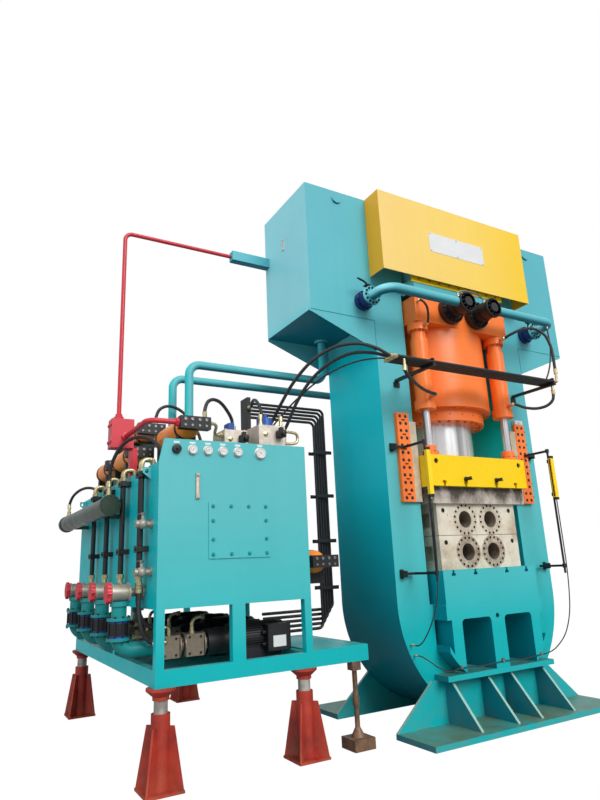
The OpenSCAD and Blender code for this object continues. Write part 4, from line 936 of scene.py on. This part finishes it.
# Fasteners and fittings of the power unit, measured from its left front corner, or from a pump set.
def gauges():
    """Five gauges, a knob and bare tags along the top of the tank's front."""
    cases = Build("gauge_cases", gauge_grey, "grey_alloy")
    dials = Build("gauge_dials", white, "die_steel")
    marks = Build("gauge_marks", dark, "black_paint")
    tags = Build("gauge_tags", white, "die_steel")
    knob = Build("panel_knob", dark, "black_paint")
    row_z, knob_x, knob_top = 2612, 151, 36
    spots = [(296, 36.5), (438, 36.5), (580, 36.5), (726, 36.5), (950, 47.5)]
    first, sweep, ticks, drift = 225, 270, 16, 22
    knob_shape = [(0, 40), (6, 40), (8, 38.5), (27.5, 38.5), (30, 34), (30, 12), (45, 11), (47, 8)]

    def hand(face, degrees, near, far, wide, tip, thick):
        """A flat bar along a line from the middle of a dial."""
        a = math.radians(degrees)
        u = X * math.cos(a) + Z * math.sin(a)
        w = u.cross(Y)
        marks.slab([face + u * near - w * wide, face + u * far - w * tip,
                    face + u * far + w * tip, face + u * near + w * wide], -Y, thick)

    for n, (x, r) in enumerate(spots):
        c = spot((x, 0, row_z))
        cases.lathe(c, -Y, [(0, r + 7), (4, r + 7), (5, r + 1.5), (28, r + 1.5), (30, r - 1), (30, r - 5),
                            (27, r - 6)], 40)
        dials.lathe(c, -Y, [(26.2, r - 5.5), (27.5, r - 5.5)], 40)
        face = c - Y * 27.6
        for k in range(ticks + 1):
            near = r * (0.62 if k % 4 else 0.54)
            hand(face, first - sweep * k / ticks, near, r * 0.76, 0.7, 0.7, 0.6)
        hand(face, first - drift * n, -r * 0.2, r * 0.68, 1.6, 0.4, 1.2)
        marks.cyl(face, -Y, r * 0.1, 2, 12, 0.5)
    knob.lathe((knob_x, 0, row_z), -Y, knob_shape, 32)
    for x, r in spots + [(knob_x, knob_top)]:
        z = row_z + r + 16
        tags.box((x - 26, -2, z), (x + 26, 1, z + 18), 0.5)


def tank_front():
    """Level glass and the access cover's bolts on the tank's front."""
    glass = Build("level_glass", linen, "yellow_plastic")
    rim = Build("level_glass_frame", alloy, "grey_alloy")
    bolts = Build("access_cover_bolts", teal_dark, "teal_paint")
    x, low, high, half, end, inset = 342, 2185, 2408, 18, 32, 30
    for z in (low, high - end):
        rim.box((x - half, -16, z), (x + half, 1, z + end))
        rim.bolt((x, -16, z + end / 2), -Y, 9, 6, washer=False)
    low += inset
    high -= inset
    for dx in (-half, 10):
        rim.box((x + dx, -12, low), (x + dx + 8, 1, high), 1)
    glass.box((x - 10, -9, low), (x + 10, 1, high), 1)
    left, right, bottom, top = 482, 990, 1684, 2160
    spots = [(left + (right - left) * k / 3, z) for k in range(4) for z in (bottom + 35, top - 35)]
    spots += [(x, bottom + (top - bottom) * k / 3) for x in (left, right) for k in (1, 2)]
    for x, z in spots:
        bolts.bolt((x, -10, z), -Y, 12.5, 11)


def motor_parts():
    """Fins, fan covers and terminal box lids of the motors, with bare labels."""
    fins = Build("motor_fins", black, "black_paint")
    box = Build("terminal_box_lids", black, "black_paint")
    label = Build("motor_labels", white, "die_steel")
    fan = Build("motor_fan_covers", black, "black_paint")
    fin_start, fin_end, fin_end_at_box, fin_foot, fin_top = 830, 1240, 1080, 120, 139
    left, right, face, bottom, top = 1085, 1305, -200, 870, 1100
    cover = [(0, 124), (0, 132), (40, 132), (52, 118), (52, 50), (47, 45)]
    gland = [(0, 22), (12, 22), (14, 17), (34, 17), (34, 10)]
    for k in range(SETS):
        Build.origin = set_origin(k)
        c = spot((0, 0, SHAFT_Z))
        for degrees in range(-40, 221, 9):
            a = math.radians(degrees)
            u = Y * math.cos(a) + Z * math.sin(a)
            w = X.cross(u) * 2
            p, q = c + u * fin_foot - w, c + u * fin_top - w
            tip = u * fin_top
            at_box = -205 < tip.y < -75 and bottom < SHAFT_Z + tip.z < top
            start, end = X * fin_start, X * (fin_end_at_box if at_box else fin_end)
            fins.slab([p + start, q + start, q + end, p + end], w, 4)
        for x in (802, 1244):
            fins.collar(c + X * x, X, 124, 137, 24, 48, 2)
        fan.lathe(c + X * 1270, X, cover, 48)
        box.box((left - 5, face - 12, bottom), (right + 5, face + 2, top), 5)
        for x in (left + 18, right - 18):
            for z in (bottom + 23, top - 23):
                box.socket((x, face - 12, z), -Y, 8, 6)
        for z in (930, 1030):
            box.lathe((left, face + 50, z), -X, gland, 20)
        label.box((left + 45, face - 13.5, 905), (left + 175, face - 11.5, 1000), 0.5)


def pump_parts():
    """Bolts and plated elbows of the pumps, and tie rods and necks of the suction lines."""
    bolts = Build("pump_bolts", dark, "black_paint")
    brass = Build("pump_elbows", zinc, "zinc_plate")
    rods = Build("suction_tie_rods", dark, "black_paint")
    necks = Build("suction_necks", teal_dark, "teal_paint")
    elbow_x, elbow_y, elbow_z = 430, -30, 1200
    foot = [(0, 26), (20, 26), (22, 18), (50, 18)]
    bend = [(0, 1110), (0, 1150), (20, 1185), (60, elbow_z), (100, elbow_z)]
    union = [(0, 18), (0, 24), (30, 24), (32, 12)]
    rod_foot, rod_top, neck_z = 1052, 1244, 1330
    neck = [(0, 62.5), (4, 76), (42, 76), (42, 62)]
    for k in range(SETS):
        Build.origin = set_origin(k)
        for x in (320, 540):
            bolts.bolt_circle((x, 0, 980), X, 92, 8, 9, 12, 0.39)
        for x in (170, 270, 390, 490):
            for z in (915, 1045):
                bolts.socket((x, -90, z), -Y, 10, 9)
        brass.lathe((elbow_x, elbow_y, 1070), Z, foot, 6)
        brass.tube(curve([(elbow_x + dx, elbow_y, z) for dx, z in bend]), 16, 12)
        brass.lathe((elbow_x + 80, elbow_y, elbow_z), X, union, 6)
        for q in rods.circle((SUCTION_X, 0, rod_foot), Z, 86.5, 8, 0.2):
            rods.cyl(q, Z, 6.5, 205, 8)
            for z in (rod_foot, rod_top):
                rods.lathe(Vector((q.x, q.y, z)), Z, [(0, 11.5), (11, 11.5)], 6, random.random())
        necks.lathe((SUCTION_X, 0, neck_z), Z, neck, 40)


def filter_parts():
    """Lobed caps and rings of the suction filters, and the ball valves' levers."""
    star = Build("filter_caps", red, "red_paint")
    neck = Build("filter_rings", alloy, "grey_alloy")
    levers = Build("ball_valve_levers", steel, "chrome")
    cap_x, back_x, front_x, lobes, points = -308.5, -117, -268, 8, 64
    back = [(0, 70), (0, 82), (16, 82), (18, 70)]
    front = [(0, 70.5), (0, 78), (12, 78), (14, 70.5)]
    for k in range(SETS):
        Build.origin = set_origin(k)
        outline = []
        for n in range(points):
            a = 2 * math.pi * n / points
            r = 80 + 8 * math.cos(lobes * a)
            outline.append((cap_x, r * math.cos(a), FILTER_Z + r * math.sin(a)))
        star.slab(outline, X, 30)
        neck.lathe((back_x, 0, FILTER_Z), -X, back, 40)
        neck.bolt_circle((back_x, 0, FILTER_Z), X, 60, 6, 8, 10, washer=False)
        neck.lathe((front_x, 0, FILTER_Z), X, front, 40)
    Build.origin = UNIT
    lever_x, lever_y = -80, 168
    stem = [(0, 13), (14, 17), (26, 17), (30, 12)]
    for z in (1600, 1990):
        levers.lathe((lever_x, lever_y, z + 66), Z, stem, 12)
        levers.box((lever_x - 10, lever_y - 12, z + 86), (lever_x + 10, lever_y + 150, z + 94), 3)


def riser_parts():
    """Nuts and return bends of the riser pipes, and the plates that clamp each pair."""
    ends = Build("riser_fittings", zinc, "zinc_plate")
    clamps = Build("riser_clamp_plates", black, "black_paint")
    bend = [(0, 2485), (0, 2520), (12, 2547), (40, 2560), (85, 2558), (100, 2540), (105, 2500)]
    top_nut = [(0, 19.5), (2, 26), (34, 26), (36, 20)]
    foot_nut = [(0, 30), (16, 30), (18, 22)]
    pair_y, plate_x = -85, -95
    for k in range(SETS):
        Build.origin = set_origin(k)
        for y in (-112, -58):
            ends.lathe((RISER_X, y, 2452), Z, top_nut, 6)
            ends.tube(curve([(RISER_X + dx, y, z) for dx, z in bend]), 18, 12)
            ends.lathe((RISER_X + 105, y, 2499.5), Z, foot_nut, 6)
            ends.collar((RISER_X, y, 1550), Z, 19.5, 27, 42, 6, 2)
            ends.collar((RISER_X, y, 1492), Z, 19.5, 25, 24, 6, 2)
        for z in (1790, 2425):
            clamps.box((plate_x, pair_y - 62, z - 28), (plate_x + 7, pair_y + 62, z + 28), 2)
            clamps.bolt((plate_x, pair_y, z), -X, 10, 8)


def cooler_parts():
    """End bolts, bands and ports of the cooler."""
    caps = Build("cooler_bands", green, "cooler_green")
    ports = Build("cooler_ports", zinc, "zinc_plate")
    port = [(0, 30), (20, 30), (22, 22), (60, 22), (62, 16)]
    caps.bolt_circle((COOLER_X, 900, COOLER_Z), -Y, 88, 12, 8, 8, washer=False)
    for y in (960, 3160):
        caps.collar((COOLER_X, y, COOLER_Z), Y, 92, 98.5, 28, 48)
    for y in (988, 3128):
        ports.lathe((COOLER_X, y, 2310.5), Z, port, 6)


def accumulator_parts():
    """Straps and gas ends of the accumulators, and plugs in their blocks."""
    straps = Build("accumulator_straps", dark, "black_paint")
    ends = Build("accumulator_gas_ends", dark, "black_paint")
    plugs = Build("accumulator_plugs", steel, "chrome")
    gas_end = [(0, 30), (12, 30), (14, 18), (40, 18), (42, 12)]
    block, row = 120, 28
    for x, y, z, length in ((370, 230, 2890, 900), (290, 1330, 3062, 700), (190, 1400, 2820, 800),
                            (190, 2320, 2820, 700), (1680, 230, 1627, 700)):
        for dy in (135, length - 175):
            straps.collar((x, y + dy, z), Y, 110.3, 114.5, 40, 48)
        ends.lathe((x, y + length - 4, z), Y, gas_end, 16)
        for dx in (-100, -35, 35, 100):
            plugs.socket((x + dx, y - block, z + row), -Y, 14, 8)
            plugs.socket((x + dx, y - block, z - row), -Y, 11, 6)
        plugs.collar((x, y - 30, z), Y, 41, 48, 26, 6, 2)


def valve_parts():
    """Coils, plugs, pilot valves and short rigid pipes on the valve blocks."""
    coils = Build("valve_coils", dark, "black_paint")
    plugs = Build("valve_plugs", zinc, "zinc_plate")
    pilot = Build("pilot_valves", blue, "blue_paint")
    front_plug = [(0, 26), (6, 26), (8, 19), (22, 19), (24, 14)]
    side_plug = [(0, 24), (6, 24), (8, 17), (24, 17)]
    coil_end = [(0, 24), (30, 24), (34, 16)]
    half, reach, bolt_in = 36, 95, 20
    for x0, x1, y0, y1, top in ((1060, 1350, 230, 530, 2950), (740, 980, 330, 630, 2900),
                                (740, 1340, 1110, 1500, 2850)):
        columns = max(2, round((x1 - x0) / 140))
        z = top - 93
        for i in range(columns):
            x = x0 + (x1 - x0) * (i + 0.5) / columns
            for plug_z in (2600, z):
                plugs.lathe((x, y0, plug_z), -Y, front_plug, 6)
            if i % 2:
                coils.box((x - half, y0 - reach, z - half), (x + half, y0 - 1, z + half), 6)
                coils.lathe((x, y0 - reach, z), -Y, coil_end, 16)
                coils.box((x - 20, y0 - 75, z + half), (x + 20, y0 - 30, z + 66), 4)
        for part in (0.25, 0.75):
            y = y0 + (y1 - y0) * part
            plugs.lathe((x0, y, 2700), -X, side_plug, 6)
            plugs.lathe((x1, y, 2660), X, side_plug, 6)
        for x in (x0 + bolt_in, x1 - bolt_in):
            for y in (y0 + bolt_in, y1 - bolt_in):
                plugs.socket((x, y, top), Z, 11, 10)
    c = (1205, 380, 3040)
    pilot.socket_circle(c, Z, 58, 6, 9, 12)
    pilot.lathe(c, Z, [(0, 30), (30, 30), (34, 22), (60, 22), (64, 14)], 6)
    pilot.box((1085, 250, 2951), (1145, 340, 3040), 6)
    pilot.box((790, 360, 2901), (860, 470, 2975), 6)
    pilot.box((900, 1160, 2851), (980, 1300, 2940), 6)
    pipes = [[(1350, 280, 2905), (1440, 280, 2905), (1500, 280, 2895), (1520, 280, 2860),
              (1505, 280, 2805), (1440, 280, 2785), (1350, 280, 2785)],
             [(510, 160, 2900), (560, 160, 2900), (600, 200, 2885), (625, 290, 2860),
              (665, 380, 2850), (740, 390, 2850)]]
    for route in pipes:
        line = curve(route)
        plugs.tube(line, 15, 12)
        for p, q in ((line[0], line[1]), (line[-1], line[-2])):
            plugs.lathe(p, q - p, [(0, 26), (30, 26), (34, 18)], 6)
    upright = [(0, 24), (22, 24), (24, 17), (60, 17), (62, 23), (105, 23), (108, 15)]
    for p in ((1095, 262, 2950), (1325, 270, 2950), (955, 600, 2900)):
        plugs.lathe(p, Z, upright, 6)


def pipe_parts():
    """Unions of the red pipes, clamps of the pipe rack, and flanges under the link pipes."""
    hexes = Build("red_pipe_unions", red, "red_paint")
    rack = Build("pipe_rack_clamps", black, "black_paint")
    flanges = Build("link_pipe_flanges", teal, "teal_paint")
    block_y = 990
    top_union = [(-1, 46), (34, 46), (38, 34), (60, 34), (64, 22.5)]
    hexes.lathe((-116, block_y, 3070), Z, top_union, 6)
    hexes.lathe((-60, 912, 2890), -Y, [(0, 44), (30, 44), (33, 24.5)], 6)
    hexes.lathe((185, 155, 2890), X, [(0, 24.5), (4, 40), (36, 40), (39, 24.5)], 6)
    for dy in (-50, 50):
        for z in (2840, 3010):
            hexes.socket((-196, block_y + dy, z), -X, 16, 12)
    for z in (1350, 1850, 2350, 2850):
        for y in (904, 1024):
            rack.box((2090, y, z - 20), (2330, y + 8, z + 20), 2)
        for x in (2102, 2318):
            rack.cyl((x, 898, z), Y, 7, 140, 8)
    flange_x, flange_z, flange_h = 560, 2499.5, 22
    for y in (838, 1378):
        flanges.lathe((flange_x, y, flange_z), Z, [(0, 85), (flange_h, 85), (flange_h, 45)], 40)
        flanges.bolt_circle((flange_x, y, flange_z + flange_h), Z, 68, 8, 9, 10)


for make in (gauges, tank_front, motor_parts, pump_parts, filter_parts, riser_parts, cooler_parts,
             accumulator_parts, valve_parts, pipe_parts):
    Build.origin = UNIT
    make()

for piece in list(Build.started):
    piece.done()


# Light and floor.
def make_floor():
    """A grey floor that shows nearly white to the camera, as in the photograph."""
    half, grey, glow, white_part = 60, 0.28, 1.07, 0.93
    me = bpy.data.meshes.new("floor")
    corners = [(-half, -half, 0), (half, -half, 0), (half, half, 0), (-half, half, 0)]
    me.from_pydata(corners, [], [(0, 1, 2, 3)])
    floor = place("floor", me)
    m = Mat("floor", rough=0.9)
    m.color((grey, grey, grey, 1))
    base = m.tree.nodes["Principled BSDF"]
    shine = m.new("ShaderNodeEmission", Strength=glow)
    seen = m.new("ShaderNodeLightPath").outputs["Is Camera Ray"]
    m.blend(m.times(seen, white_part), base.outputs[0], shine.outputs[0], "Material Output")
    me.materials.append(m.material)


def make_world():
    """A soft sky, paler towards the top, that shows as plain white."""
    world = bpy.data.worlds.new("world")
    bpy.context.scene.world = world
    world.use_nodes = True
    t = Tree(world.node_tree, "Generated")
    light = t.tree.nodes["Background"]
    sky = t.ramp(t.axis(2), (0.0, (0.34, 0.36, 0.37, 1)), (0.3, (0.56, 0.58, 0.60, 1)), (1.0, (1, 1, 1, 1)))
    t.put(sky, light.inputs["Color"])
    backdrop = t.new("ShaderNodeBackground", Color=(1, 1, 1, 1))
    path = t.new("ShaderNodeLightPath").outputs
    seen = t.math("ADD", path["Is Camera Ray"], path["Is Transmission Ray"])
    t.blend(seen, light.outputs[0], backdrop.outputs[0], "World Output")


def make_lamp(name, energy, angle, where):
    """A soft sun that shines from a direction."""
    data = bpy.data.lights.new(name, "SUN")
    data.energy = energy
    data.angle = math.radians(angle)
    place(name, data).rotation_euler = Vector(where).to_track_quat("Z", "Y").to_euler()


make_floor()
make_world()
make_lamp("key", 2.3, 30, (0.08, -0.84, 0.53))
make_lamp("fill", 0.6, 60, (-0.93, -0.25, 0.28))
bpy.context.scene.view_settings.view_transform = "Standard"
